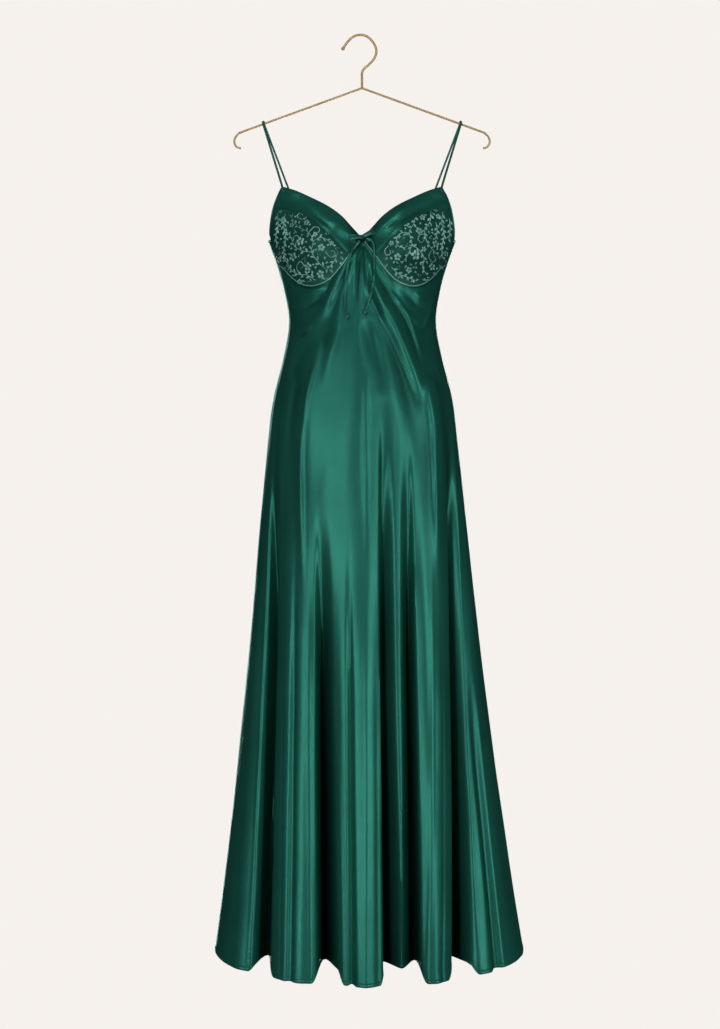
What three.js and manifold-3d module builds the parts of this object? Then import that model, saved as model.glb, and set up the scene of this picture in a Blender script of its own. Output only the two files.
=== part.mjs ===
// Satin evening gown hanging from a bent-wire hanger. Lengths are in millimetres, +Z is up.
// The origin is the inside top of the hanger's hook. The gown's front faces -Y.
import * as THREE from 'three';
import { mergeVertices } from 'three/addons/utils/BufferGeometryUtils.js';
import Module from 'manifold-3d';

const wasm = await Module();
wasm.setup();

// Driving dimensions
const cloth = 1.6;              // thickness of every cloth wall
const seamGap = 0.3;            // clearance between neighbouring pieces
const pipingRadius = 1.5;
const bindingRadius = 1.3;
const strapRadius = 2.2;
const tailRadius = 1.9;
const hookWireRadius = 1.9;
const armWireRadius = 1.65;
const hemZ = -1493;             // height of the hem where it lies deepest in the folds
const hemDip = 22;              // how much lower the hem hangs on a front or back crest
const hemRound = 1.5;           // how much wider than a hollow the hem's rise at it is
const foldTop = -640;           // height above which the skirt's folds run straight up
const sideSeam = 78;            // degrees round from the centre front to the side seam
const armholeFoot = -338;       // height where the armhole meets the side seam
const backDip = 10;             // fall of the back edge from side seam to centre back
const bustSpread = 72;          // distance of each cup's crown from the centre front
const bustCrown = -366;         // height of the cups' crowns
const bustDepth = 32;           // how far the crowns stand out of the chest
const shoulderWidth = 2.5;      // how much wider than a hollow its rounded shoulders are
const shoulderShare = 0.26;     // share of a hollow's depth that its shoulders take

// The gown's ring at each height: half width, sideways shift and the depth of front and back.
const rings = [
  { z: -245, halfWidth: 160, shift: 0, front: 56, back: 56 },
  { z: -290, halfWidth: 161, shift: 0, front: 64, back: 60 },
  { z: -330, halfWidth: 155.5, shift: 0, front: 69, back: 66 },
  { z: -372, halfWidth: 141, shift: 0, front: 74, back: 70 },
  { z: -416, halfWidth: 128.5, shift: 0, front: 80, back: 74 },
  { z: -470, halfWidth: 120.5, shift: 0.6, front: 85, back: 80 },
  { z: -531, halfWidth: 130.5, shift: 0.8, front: 92, back: 92 },
  { z: -597, halfWidth: 147, shift: 1, front: 99, back: 103 },
  { z: -662, halfWidth: 155.3, shift: 1, front: 104, back: 108 },
  { z: -794, halfWidth: 168.5, shift: 2, front: 110, back: 112 },
  { z: -1056, halfWidth: 195, shift: 5, front: 118, back: 116 },
  { z: -1319, halfWidth: 227, shift: 9, front: 126, back: 122 },
  { z: -1530, halfWidth: 258, shift: 12, front: 132, back: 128 },
];

// Hollows between the skirt's folds: the height where each starts, and the degrees round from
// the centre front at the height of foldTop and at the hem. Skew sets the steep side, -1 left to
// 1 right, and tuck slides the hollow's floor under the crest on that side.
const hollows = [
  { startZ: -640, top: -62, hem: -40.5, halfWidth: 20, depth: 50, skew: -0.3, tuck: -8 },
  { startZ: -800, top: -41, hem: -29.5, halfWidth: 9, depth: 6, skew: 0, tuck: 0 },
  { startZ: -760, top: -24, hem: -15, halfWidth: 20, depth: 62, skew: -0.3, tuck: -9 },
  { startZ: -800, top: -8, hem: -6.2, halfWidth: 8, depth: 10, skew: 0, tuck: 0 },
  { startZ: -600, top: 13.5, hem: 8.6, halfWidth: 17, depth: 57, skew: -0.35, tuck: -9 },
  { startZ: -640, top: 26, hem: 15.8, halfWidth: 16, depth: 56, skew: 0.3, tuck: 8 },
  { startZ: -600, top: 61.5, hem: 35.2, halfWidth: 20, depth: 64, skew: 0, tuck: 0 },
  { startZ: -1000, top: 70, hem: 54, halfWidth: 14, depth: 12, skew: 0, tuck: 0 },
  { startZ: -900, top: 108, hem: 109, halfWidth: 22, depth: 30, skew: 0.3, tuck: 6 },
  { startZ: -760, top: 125, hem: 131, halfWidth: 30, depth: 54, skew: -0.4, tuck: -10 },
  { startZ: -820, top: 152, hem: 156, halfWidth: 28, depth: 58, skew: 0.3, tuck: 10 },
  { startZ: -780, top: 181, hem: 179, halfWidth: 28, depth: 52, skew: -0.3, tuck: -8 },
  { startZ: -840, top: 209, hem: 205, halfWidth: 28, depth: 58, skew: 0.4, tuck: 10 },
  { startZ: -760, top: 238, hem: 232, halfWidth: 30, depth: 50, skew: -0.3, tuck: -8 },
  { startZ: -940, top: 254, hem: 253, halfWidth: 22, depth: 26, skew: 0, tuck: 0 },
];

// Soft folds of the front bodice and hips. Each runs down from (x0, z0) past (x1, z1) to
// (x2, z2), width is its half width and height how far it stands out of the cloth.
const folds = [
  { x0: -5, z0: -362, x1: -34, z1: -405, x2: -66, z2: -500, width: 8, height: 2.6 },
  { x0: -4, z0: -358, x1: -20, z1: -400, x2: -44, z2: -520, width: 7, height: 2.8 },
  { x0: -3, z0: -356, x1: -11, z1: -398, x2: -24, z2: -500, width: 6, height: 2.6 },
  { x0: -1, z0: -355, x1: -3, z1: -400, x2: -6, z2: -540, width: 6, height: 2.8 },
  { x0: 2, z0: -356, x1: 9, z1: -400, x2: 14, z2: -470, width: 5.5, height: 2.4 },
  { x0: 4, z0: -360, x1: 20, z1: -418, x2: 50, z2: -530, width: 8, height: 4.5 },
  { x0: 20, z0: -385, x1: 44, z1: -428, x2: 80, z2: -520, width: 6, height: 2.8 },
  { x0: 50, z0: -530, x1: 88, z1: -585, x2: 116, z2: -760, width: 22, height: 5 },
  { x0: -66, z0: -500, x1: -80, z1: -570, x2: -92, z2: -760, width: 26, height: 5 },
  { x0: -24, z0: -500, x1: -14, z1: -600, x2: -4, z2: -800, width: 20, height: 3 },
  { x0: 84, z0: -540, x1: 100, z1: -640, x2: 104, z2: -900, width: 15, height: 6 },
];

// Outlines on the front of the bodice as seen from straight ahead: distance from the centre
// front and height, from the side towards the centre.
const underbustLine = [
  [137, -378], [128, -386], [115, -402], [100, -414.5], [84, -420.5], [67, -419], [50, -410.5],
  [33, -392], [19, -372], [9, -358.5], [1.6, -349],
];
const bandSeamLine = [
  [144, -289.5], [122, -293], [100, -304], [78, -320], [61, -335], [45, -351], [22.5, -374],
];
const necklineLine = [
  [129.5, -255], [105, -265.5], [78, -280.5], [53, -295.5], [33, -311], [17.5, -328], [1.6, -345],
];
const armholeLine = [[129.5, -255], [138, -273], [144, -289.5], [149, -314], [150, -338]];

// Materials
const satin = { color: 0x1f6b57, roughness: 0.34, metalness: 0 };
const darkSatin = { color: 0x0f4a3c, roughness: 0.42, metalness: 0 };
const trim = { color: 0x2c8069, roughness: 0.4, metalness: 0 };
const gilt = { color: 0xb08d57, roughness: 0.28, metalness: 1 };

const group = new THREE.Group();

const degrees = Math.PI / 180;
const clamp = THREE.MathUtils.clamp;
const lerp = THREE.MathUtils.lerp;
const smooth = THREE.MathUtils.smoothstep;

function addPiece(name, geometry, look) {
  const mesh = new THREE.Mesh(geometry, new THREE.MeshStandardMaterial(look));
  mesh.name = name;
  group.add(mesh);
  return mesh;
}

// Smooth interpolation of one column of the ring table.
function ringValue(column, z) {
  const height = clamp(z, rings[rings.length - 1].z, rings[0].z);
  let i = rings.findIndex((ring) => ring.z <= height);
  i = Math.max(i, 1);
  const slope = (a, b) => (rings[b][column] - rings[a][column]) / (rings[b].z - rings[a].z);
  const upper = rings[i - 1];
  const lower = rings[i];
  const span = lower.z - upper.z;
  const t = (height - upper.z) / span;
  const m0 = slope(Math.max(i - 2, 0), i) * span;
  const m1 = slope(i - 1, Math.min(i + 1, rings.length - 1)) * span;
  const t2 = t * t;
  const t3 = t2 * t;
  return upper[column] * (2 * t3 - 3 * t2 + 1) + m0 * (t3 - 2 * t2 + t)
    + lower[column] * (3 * t2 - 2 * t3) + m1 * (t3 - t2);
}

function ringAt(z) {
  return {
    halfWidth: ringValue('halfWidth', z),
    shift: ringValue('shift', z),
    front: ringValue('front', z),
    back: ringValue('back', z),
  };
}

// Lopsided cosine bump: 1 at the skewed middle, 0 at both ends.
function lopsided(s, skew) {
  if (Math.abs(s) >= 1) return 0;
  const reach = s < skew ? 1 + skew : 1 - skew;
  return 0.5 + 0.5 * Math.cos(Math.PI * (s - skew) / reach);
}

// Share of the way from the top of the folds to the hem.
const foldShare = (z) => clamp((foldTop - z) / (foldTop - hemZ), 0, 1);

// How deep a hollow is at an angle (radians) and height, and how far it slides its floor.
function hollowAt(hollow, angle, z, ring) {
  const fall = (hollow.startZ - z) / (hollow.startZ - hemZ);
  if (fall <= 0) return { depth: 0, slide: 0 };
  const middle = lerp(hollow.top, hollow.hem, foldShare(z)) * degrees;
  let turn = angle - middle;
  turn -= Math.round(turn / (2 * Math.PI)) * 2 * Math.PI;
  const depthOfRing = Math.cos(middle) > 0 ? ring.front : ring.back;
  const speed = Math.hypot(ring.halfWidth * Math.cos(middle), depthOfRing * Math.sin(middle));
  const s = turn * speed / (hollow.halfWidth * lerp(0.7, 1, fall));
  const growth = smooth(fall, 0, 0.45) * lerp(0.45, 1, Math.min(fall, 1));
  const floor = lopsided(s, hollow.skew);
  const shoulder = lopsided(s / shoulderWidth, 0);
  const profile = lerp(floor, shoulder, shoulderShare);
  return { depth: hollow.depth * profile * growth, slide: hollow.tuck * floor * growth };
}

// Height of the bust and of the soft folds over the plain front.
function frontRelief(x, z) {
  const side = (Math.abs(x) - bustSpread) / 44;
  const rise = (z - bustCrown) / (z > bustCrown ? 62 : 34);
  let relief = bustDepth * Math.exp(-side * side - rise * rise);
  for (const fold of folds) {
    const t = (fold.z0 - z) / (fold.z0 - fold.z2);
    if (t <= 0 || t >= 1) continue;
    const middle = (fold.z0 - fold.z1) / (fold.z0 - fold.z2);
    const bend = (fold.x1 - lerp(fold.x0, fold.x2, middle)) / (middle * (1 - middle));
    const x0 = lerp(fold.x0, fold.x2, t) + bend * t * (1 - t);
    const s = (x - x0) / (fold.width * lerp(0.45, 1.2, t));
    relief += fold.height * Math.exp(-s * s) * smooth(t, 0, 0.12) * (1 - smooth(t, 0.45, 1));
  }
  return relief;
}

// A point on the outside of the gown: angle in radians round from the centre front.
function gownPoint(angle, z) {
  const ring = ringAt(z);
  const facing = Math.cos(angle);
  const depth = facing > 0 ? ring.front : ring.back;
  let inward = 0;
  let slide = 0;
  for (const hollow of hollows) {
    const part = hollowAt(hollow, angle, z, ring);
    inward += part.depth;
    slide += part.slide;
  }
  const across = ring.halfWidth * Math.sin(angle);
  const along = -depth * facing;
  const normal = new THREE.Vector2(Math.sin(angle) / ring.halfWidth, -facing / depth).normalize();
  const relief = facing > 0 ? frontRelief(across, z) * smooth(facing, 0.05, 0.5) : 0;
  return new THREE.Vector3(
    ring.shift + across - normal.x * inward - normal.y * slide,
    along - normal.y * inward + normal.x * slide - relief,
    z,
  );
}

function gownNormal(angle, z) {
  const step = 0.004;
  const rise = 1.5;
  const round = gownPoint(angle + step, z).sub(gownPoint(angle - step, z));
  const up = gownPoint(angle, z + rise).sub(gownPoint(angle, z - rise));
  return round.cross(up).normalize();
}

// Lowest height of the cloth at an angle: crests hang lower than hollows.
function hemHeight(angle) {
  const ring = ringAt(hemZ);
  let inward = 0;
  for (const hollow of hollows) {
    const wide = { ...hollow, halfWidth: hollow.halfWidth * hemRound, skew: 0 };
    inward += hollowAt(wide, angle, hemZ, ring).depth;
  }
  const crest = 1 - smooth(inward, 14, 40);
  return hemZ - hemDip * crest * Math.abs(Math.cos(angle));
}

// The angle on the front at which a point lies at a distance from the centre.
function angleOf(x, z) {
  const ring = ringAt(z);
  return Math.asin(clamp((x - ring.shift) / ring.halfWidth, -1, 1));
}

// A closed wall from a grid of places { angle, z }: the outside lies lift above the gown.
function wall(places, lift = 0, thickness = cloth) {
  const rows = places.length;
  const columns = places[0].length;
  const outer = [];
  const inner = [];
  for (const row of places) {
    for (const { angle, z } of row) {
      const point = gownPoint(angle, z);
      const normal = gownNormal(angle, z);
      outer.push(point.clone().addScaledVector(normal, lift));
      inner.push(point.clone().addScaledVector(normal, lift - thickness));
    }
  }
  const index = [];
  const half = rows * columns;
  const quad = (a, b, c, d) => index.push(a, b, c, a, c, d);
  for (let r = 0; r < rows - 1; r++) {
    for (let c = 0; c < columns - 1; c++) {
      const a = r * columns + c;
      const b = a + 1;
      const d = a + columns;
      const e = d + 1;
      quad(a, d, e, b);
      quad(half + a, half + b, half + e, half + d);
    }
  }
  const rim = [];
  for (let c = 0; c < columns - 1; c++) rim.push(c);
  for (let r = 0; r < rows - 1; r++) rim.push(r * columns + columns - 1);
  for (let c = columns - 1; c > 0; c--) rim.push((rows - 1) * columns + c);
  for (let r = rows - 1; r > 0; r--) rim.push(r * columns);
  rim.forEach((a, k) => {
    const b = rim[(k + 1) % rim.length];
    quad(a, b, half + b, half + a);
  });
  const geometry = new THREE.BufferGeometry();
  const points = [...outer, ...inner].flatMap((point) => point.toArray());
  geometry.setAttribute('position', new THREE.Float32BufferAttribute(points, 3));
  geometry.setIndex(index);
  return geometry;
}

// A path that steps from station to station, for tubes that need short steps only at a bend.
class Route extends THREE.Curve {
  constructor(stations) {
    super();
    this.stations = stations;
  }

  getPointAt(u) {
    return this.stations[Math.round(u * (this.stations.length - 1))].clone();
  }

  getTangentAt(u) {
    const last = this.stations.length - 1;
    const k = Math.round(u * last);
    const before = this.stations[Math.max(k - 1, 0)];
    const after = this.stations[Math.min(k + 1, last)];
    const along = after.clone().sub(this.stations[k]).normalize();
    return along.add(this.stations[k].clone().sub(before).normalize()).normalize();
  }
}

function sweep(path, radius, steps, sides) {
  const outline = [];
  for (let k = 0; k < sides; k++) {
    const turn = 2 * Math.PI * k / sides;
    outline.push(new THREE.Vector2(radius * Math.cos(turn), radius * Math.sin(turn)));
  }
  const section = new THREE.Shape(outline);
  return new THREE.ExtrudeGeometry(section, { steps, bevelEnabled: false, extrudePath: path });
}

// A closed tube of round section on a smooth curve through points.
function tube(points, radius, steps, sides = 8) {
  return sweep(new THREE.CatmullRomCurve3(points, false, 'centripetal'), radius, steps, sides);
}

// A closed tube with one ring at each station.
function steppedTube(stations, radius, sides = 8) {
  return sweep(new Route(stations), radius, stations.length - 1, sides);
}

// Curve over the gown from rows of [distance, height] in the front view. Its own coordinates are
// the angle, as spread millimetres a radian, and the height. Offset moves it sideways on the
// cloth: down or outwards where it is positive.
const spread = 100;
function frontCurve(line, offset = 0) {
  const curve = new THREE.SplineCurve(
    line.map(([x, z]) => new THREE.Vector2(angleOf(x, z) * spread, z)),
  );
  if (offset === 0) return curve;
  const samples = 24;
  const moved = [];
  for (let k = 0; k <= samples; k++) {
    const point = curve.getPointAt(k / samples);
    const tangent = curve.getTangentAt(k / samples);
    const ring = ringAt(point.y);
    const angle = point.x / spread;
    const speed = Math.hypot(ring.halfWidth * Math.cos(angle), ring.front * Math.sin(angle));
    const sideways = new THREE.Vector2(-tangent.y, tangent.x * speed / spread).normalize();
    moved.push(new THREE.Vector2(
      point.x + sideways.x * offset * spread / speed,
      point.y + sideways.y * offset,
    ));
  }
  return new THREE.SplineCurve(moved);
}

// Place { angle, z } on a front curve for one side of the gown, -1 left and 1 right.
function placeOn(curve, u, side) {
  const { x, y } = curve.getPointAt(clamp(u, 0, 1));
  return { angle: side * Math.max(x, 0) / spread, z: y };
}

// Share of a front curve at which it crosses an angle.
function crossing(curve, angle) {
  const growing = curve.getPointAt(1).x > curve.getPointAt(0).x;
  let low = 0;
  let high = 1;
  for (let k = 0; k < 30; k++) {
    const middle = (low + high) / 2;
    if ((placeOn(curve, middle, 1).angle < angle) === growing) low = middle;
    else high = middle;
  }
  return (low + high) / 2;
}

// Patch of places between four borders, each a function of its share of the way.
function patch(bottom, top, start, end, columns, rows) {
  const blend = (u, v, key) => lerp(bottom(u)[key], top(u)[key], v)
    + lerp(start(v)[key], end(v)[key], u)
    - lerp(lerp(bottom(0)[key], bottom(1)[key], u), lerp(top(0)[key], top(1)[key], u), v);
  const grid = [];
  for (let r = rows; r >= 0; r--) {
    const row = [];
    for (let c = 0; c <= columns; c++) {
      const u = c / columns;
      const v = r / rows;
      row.push({ angle: blend(u, v, 'angle'), z: blend(u, v, 'z') });
    }
    grid.push(row);
  }
  return grid;
}

const mirrored = (grid, side) => (side > 0 ? grid.map((row) => [...row].reverse()) : grid);
const sideName = (side) => (side < 0 ? 'left' : 'right');

// Skirt. Its columns follow the hollows: each is a pair of degrees, at foldTop and at the hem.
const skirtRows = (count, power) => Array.from({ length: count + 1 }, (_, r) => (r / count) ** power);

function topOfHem(hem) {
  const seams = [-sideSeam, sideSeam, 360 - sideSeam].map((turn) => ({ top: turn, hem: turn }));
  const ends = [...seams, ...hollows].sort((a, b) => a.hem - b.hem);
  const next = Math.max(1, ends.findIndex((end) => end.hem >= hem));
  const before = ends[next - 1];
  const after = ends[next];
  return lerp(before.top, after.top, (hem - before.hem) / (after.hem - before.hem));
}

function skirtColumns(from, to, closest, widest) {
  const ring = ringAt(hemZ);
  const stops = [from, to];
  for (const { hem, halfWidth, skew } of hollows) {
    const depth = Math.abs(hem) < 90 ? ring.front : ring.back;
    const turn = hem * degrees;
    const speed = Math.hypot(ring.halfWidth * Math.cos(turn), depth * Math.sin(turn));
    const reach = halfWidth / speed / degrees;
    for (const s of [-1, lerp(skew, -1, 0.66), lerp(skew, -1, 0.33), skew, lerp(skew, 1, 0.5), 1]) {
      const stop = hem + s * reach;
      if (stop > from + closest && stop < to - closest) stops.push(stop);
    }
  }
  stops.sort((a, b) => a - b);
  const kept = stops.filter((stop, k) => k === 0 || k === stops.length - 1
    || stop - stops[k - 1] > closest);
  const columns = [];
  kept.forEach((stop, k) => {
    columns.push(stop);
    if (k === kept.length - 1) return;
    const room = topOfHem(kept[k + 1]) - topOfHem(stop);
    const extra = Math.ceil(room / widest) - 1;
    for (let n = 1; n <= extra; n++) columns.push(lerp(stop, kept[k + 1], n / (extra + 1)));
  });
  return columns.map((hem) => ({ top: topOfHem(hem) * degrees, hem: hem * degrees }));
}

function skirtGrid(columns, topEdge, rowShares) {
  return rowShares.map((share) => columns.map((column) => {
    const z = lerp(topEdge(column.top), hemHeight(column.hem), share);
    return { angle: lerp(column.top, column.hem, foldShare(z)), z };
  }));
}

// Half the side seam's gap as an angle, at the gown's least depth there
const seamInset = 0.9 * seamGap / 75;
const insetDegrees = seamInset / degrees;
const frontColumns = skirtColumns(-sideSeam + insetDegrees, sideSeam - insetDegrees, 0.9, 4.2);
const backColumns = skirtColumns(sideSeam + insetDegrees, 360 - sideSeam - insetDegrees, 1.5, 9);

const pipingRoom = pipingRadius + seamGap;
const bindingRoom = bindingRadius + seamGap;
const skirtTop = frontCurve(underbustLine, pipingRoom);
const backEdge = (angle) => armholeFoot - backDip * (1 - Math.cos(angle - Math.PI * 0.5) ** 2);

const frontTop = (angle) => placeOn(skirtTop, crossing(skirtTop, Math.abs(angle)), 1).z;
addPiece('skirt_front', wall(skirtGrid(frontColumns, frontTop, skirtRows(17, 1.35))), satin);
const backTop = (angle) => backEdge(angle) - bindingRoom;
addPiece('skirt_back', wall(skirtGrid(backColumns, backTop, skirtRows(15, 1.1))), satin);

// Cups, bands, piping and armhole bindings of one side
function buildBodiceSide(side) {
  const name = sideName(side);
  const sideAngle = sideSeam * degrees - seamInset;
  const cupBottom = frontCurve(underbustLine, -pipingRoom);
  const cupTop = frontCurve(bandSeamLine, 0.5 * seamGap);
  const bandBottom = frontCurve(bandSeamLine, -0.5 * seamGap);
  const neckline = frontCurve(necklineLine);
  const armhole = frontCurve(armholeLine, -bindingRoom);
  const armholeSeam = 0.42;   // share of the armhole at which the cup's top seam meets it
  const armholeEnd = Math.min(crossing(armhole, sideAngle), 0.97);
  const underbust = frontCurve(underbustLine);

  const cupStart = crossing(cupBottom, sideAngle);
  const cupEnd = 0.775;       // share of the underbust line at which the cup ends in a point
  const onCupBottom = (u) => placeOn(cupBottom, lerp(cupStart, cupEnd, u), 1);
  const onCupTop = (u) => placeOn(cupTop, lerp(0.02, 0.965, u), 1);
  const sideTop = { angle: sideAngle, z: armholeFoot - 3 };
  const cupOuter = (v) => {
    const foot = onCupBottom(0);
    const head = onCupTop(0);
    const bend = 0.3;         // share of the cup's outer border below the armhole
    if (v <= bend) {
      return { angle: lerp(foot.angle, sideTop.angle, v / bend), z: lerp(foot.z, sideTop.z, v / bend) };
    }
    const share = (v - bend) / (1 - bend);
    const place = placeOn(armhole, lerp(armholeEnd, armholeSeam, share), 1);
    const miss = placeOn(armhole, armholeSeam, 1);
    return {
      angle: place.angle + (head.angle - miss.angle) * share,
      z: place.z + (head.z - miss.z) * share,
    };
  };
  const cupInner = (v) => ({
    angle: lerp(onCupBottom(1).angle, onCupTop(1).angle, v),
    z: lerp(onCupBottom(1).z, onCupTop(1).z, v),
  });
  const turn = (grid) => grid.map((row) => row.map(({ angle, z }) => ({ angle: side * angle, z })));
  const faced = (grid) => mirrored(turn(grid), side);
  const cup = patch(onCupBottom, onCupTop, cupOuter, cupInner, 14, 10);
  addPiece(`cup_${name}`, wall(faced(cup)), darkSatin);

  const seamShare = 0.86;     // share of the band's foot that lies on the cup, then on the piping
  const pipingStart = crossing(underbust, sideAngle);
  const bandFoot = (u) => {
    if (u <= seamShare) return placeOn(bandBottom, lerp(0.02, 0.985, u / seamShare), 1);
    const share = (u - seamShare) / (1 - seamShare);
    return placeOn(cupBottom, lerp(0.83, 0.985, share), 1);
  };
  const bandHead = (u) => placeOn(neckline, lerp(0.012, 0.99, u), 1);
  const bandOuter = (v) => ({
    angle: lerp(bandFoot(0).angle, bandHead(0).angle, v),
    z: lerp(bandFoot(0).z, bandHead(0).z, v),
  });
  const bandInner = (v) => ({
    angle: lerp(bandFoot(1).angle, bandHead(1).angle, v),
    z: lerp(bandFoot(1).z, bandHead(1).z, v),
  });
  const band = patch(bandFoot, bandHead, bandOuter, bandInner, 16, 4);
  addPiece(`band_${name}`, wall(faced(band)), satin);

  const onGown = (curve, u, lift) => {
    const place = placeOn(curve, u, side);
    return gownPoint(place.angle, place.z).addScaledVector(gownNormal(place.angle, place.z), lift);
  };
  const stretch = (curve, from, to, count, lift) => Array.from(
    { length: count + 1 },
    (_, k) => onGown(curve, lerp(from, to, k / count), lift),
  );
  const pipingPath = stretch(underbust, pipingStart, 0.975, 18, -0.5 * cloth);
  addPiece(`piping_${name}`, tube(pipingPath, pipingRadius, 26, 6), trim);

  const rim = frontCurve(armholeLine);
  const bindingPath = stretch(rim, 0.05, 0.985, 9, -0.5 * cloth);
  addPiece(`binding_${name}`, tube(bindingPath, bindingRadius, 12, 6), satin);
}
[-1, 1].forEach(buildBodiceSide);

// Binding of the back edge, from side seam to side seam
function buildBackBinding() {
  const from = sideSeam * degrees + 4 * seamInset;
  const to = 2 * Math.PI - from;
  const count = 30;
  const path = Array.from({ length: count + 1 }, (_, k) => {
    const angle = lerp(from, to, k / count);
    const z = backEdge(angle);
    return gownPoint(angle, z).addScaledVector(gownNormal(angle, z), -0.5 * cloth);
  });
  addPiece('binding_back', tube(path, bindingRadius, 34, 6), satin);
}
buildBackBinding();

// Straps: up from the band, over the hanger's arm and down to the back edge
function buildStrap(side) {
  const name = sideName(side);
  const reach = armWireRadius + strapRadius + seamGap;
  const foot = gownPoint(angleOf(129.8, -254), -254);
  const backX = 93;
  const backAngle = Math.PI - angleOf(backX, backEdge(Math.PI * 0.7));
  const heelZ = backEdge(backAngle) + bindingRadius + strapRadius * 0.6 + seamGap;
  const heel = gownPoint(backAngle, heelZ);
  const low = new THREE.Vector3(foot.x, foot.y + 0.5 * cloth, -251.5);
  const frontX = 162;
  const rearX = 157.4;
  const turns = 8;
  const over = Array.from({ length: turns + 1 }, (_, k) => {
    const turn = Math.PI * k / turns;
    const x = lerp(frontX, rearX, k / turns);
    const z = armHeight(x) + reach * Math.sin(turn) / Math.cos(armSlope);
    return new THREE.Vector3(x, -reach * Math.cos(turn), z);
  });
  const end = new THREE.Vector3(heel.x, heel.y - 0.5 * cloth, heel.z);
  const stations = [
    low,
    low.clone().lerp(over[0], 0.35),
    low.clone().lerp(over[0], 0.7),
    ...over,
    over[turns].clone().lerp(end, 0.3),
    over[turns].clone().lerp(end, 0.65),
    end,
  ];
  stations.forEach((point) => point.setX(side * point.x));
  addPiece(`strap_${name}`, steppedTube(stations, strapRadius), satin);
  const head = -257.6;
  const tab = [head, head - 4.5, head - 9].map((z, r) => [-2.6, 0, 2.6].map((across) => ({
    angle: side * angleOf(126.9 + 1.7 * r, z) + across / 120,
    z,
  })));
  addPiece(`tab_${name}`, wall(tab, cloth + seamGap), satin);
}

// Hanger
const armPeak = new THREE.Vector3(0, 0, -85.5);
const armEnd = new THREE.Vector3(194.5, 0, -156.5);
const armSlope = Math.atan2(armPeak.z - armEnd.z, armEnd.x);
function armHeight(x) {
  return lerp(armPeak.z, armEnd.z, x / armEnd.x);
}

const curl = [
  [199.3, -158.6], [203.6, -161.5], [207, -165.2], [209, -169.8], [209.3, -174.8], [207.6, -179.4],
  [203.8, -182.8], [198.8, -184.2],
];
function buildHanger() {
  const half = [[6, armHeight(6)], [100, armHeight(100)], [armEnd.x, armEnd.z], ...curl];
  const stations = [
    ...half.map(([x, z]) => new THREE.Vector3(-x, 0, z)).reverse(),
    new THREE.Vector3(0, 0, armPeak.z - 0.6),
    ...half.map(([x, z]) => new THREE.Vector3(x, 0, z)),
  ];
  addPiece('hanger_arms', steppedTube(stations, armWireRadius, 10), gilt);

  const r = hookWireRadius;
  const hook = [
    [-30.7, -19.9], [-22.3, -8], [-12.8, -0.4], [-1.8, r], [7.4, -0.4], [16.4, -8], [22, -17.5],
    [23.5, -26.5], [20.2, -36.5], [12.1, -46], [3, -54.2], [0, -61], [0, -70],
    [0, armPeak.z + armWireRadius - seamGap],
  ];
  const wire = asSolid(tube(hook.map(([x, z]) => new THREE.Vector3(x, 0, z)), r, 30, 8));
  const ball = new THREE.SphereGeometry(2.9, 10, 8).translate(-31.2, 0, -20.8);
  addPiece('hanger_hook', asGeometry(wire.add(asSolid(ball))), gilt);
}

// Booleans
function asSolid(geometry) {
  const bare = geometry.clone();
  bare.deleteAttribute('normal');
  bare.deleteAttribute('uv');
  const merged = mergeVertices(bare, 1e-4);
  return new wasm.Manifold(new wasm.Mesh({
    numProp: 3,
    vertProperties: new Float32Array(merged.attributes.position.array),
    triVerts: new Uint32Array(merged.index.array),
  }));
}

function asGeometry(solid) {
  const mesh = solid.getMesh();
  const geometry = new THREE.BufferGeometry();
  geometry.setAttribute('position', new THREE.BufferAttribute(mesh.vertProperties, 3));
  geometry.setIndex(new THREE.BufferAttribute(mesh.triVerts, 1));
  return geometry;
}

buildHanger();
[-1, 1].forEach(buildStrap);

// Bow: each row is a distance from the centre, how far it stands off the gown, and a height.
const knotZ = -346;
const loops = {
  left: [
    [-6, 5.4, -345.4], [-12, 4.8, -343], [-18, 4, -342.8], [-22, 3.2, -346], [-19, 2.9, -351],
    [-12, 3.6, -350.6], [-6.2, 5, -348.6],
  ],
  right: [
    [5.6, 6, -343], [10, 5, -337], [15, 4.4, -332], [21, 3.4, -331], [23, 2.7, -336], [17, 2.7, -342],
    [7, 4, -347],
  ],
};
const tails = {
  left: [
    [-3.6, 5.4, -351.6], [-8, 4.4, -358], [-14, 3.8, -366], [-18.5, 3.4, -376], [-22, 3.2, -388],
    [-24, 3.2, -402], [-25.5, 3.2, -418], [-26.5, 3.2, -434], [-26.8, 3.2, -450],
    [-25.8, 3.2, -462], [-23.5, 3.2, -473],
  ],
  right: [
    [5.8, 9.6, -350.4], [10.5, 9, -350.6], [15, 8, -353], [17.8, 6.6, -359], [18.8, 5, -369],
    [19, 3.8, -382], [19, 3.2, -396], [18.6, 3.2, -410], [17, 3.2, -424], [14, 3.2, -438],
    [9.5, 3.2, -452], [5, 3.2, -464],
  ],
};

function inFrontOfGown([x, lift, z]) {
  return new THREE.Vector3(x, gownPoint(angleOf(x, z), z).y - lift, z);
}

function buildBow() {
  const knot = new THREE.SphereGeometry(4.4, 12, 8);
  knot.scale(1.05, 0.8, 1);
  const middle = inFrontOfGown([0, 3.5, knotZ]);
  addPiece('bow_knot', knot, trim).position.copy(middle);
  for (const [name, rows] of Object.entries(loops)) {
    addPiece(`bow_loop_${name}`, tube(rows.map(inFrontOfGown), tailRadius, 13, 6), trim);
  }
  for (const [name, rows] of Object.entries(tails)) {
    addPiece(`bow_tail_${name}`, tube(rows.map(inFrontOfGown), tailRadius, 15, 8), trim);
  }
}
buildBow();

export default group;
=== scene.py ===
import math

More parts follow.
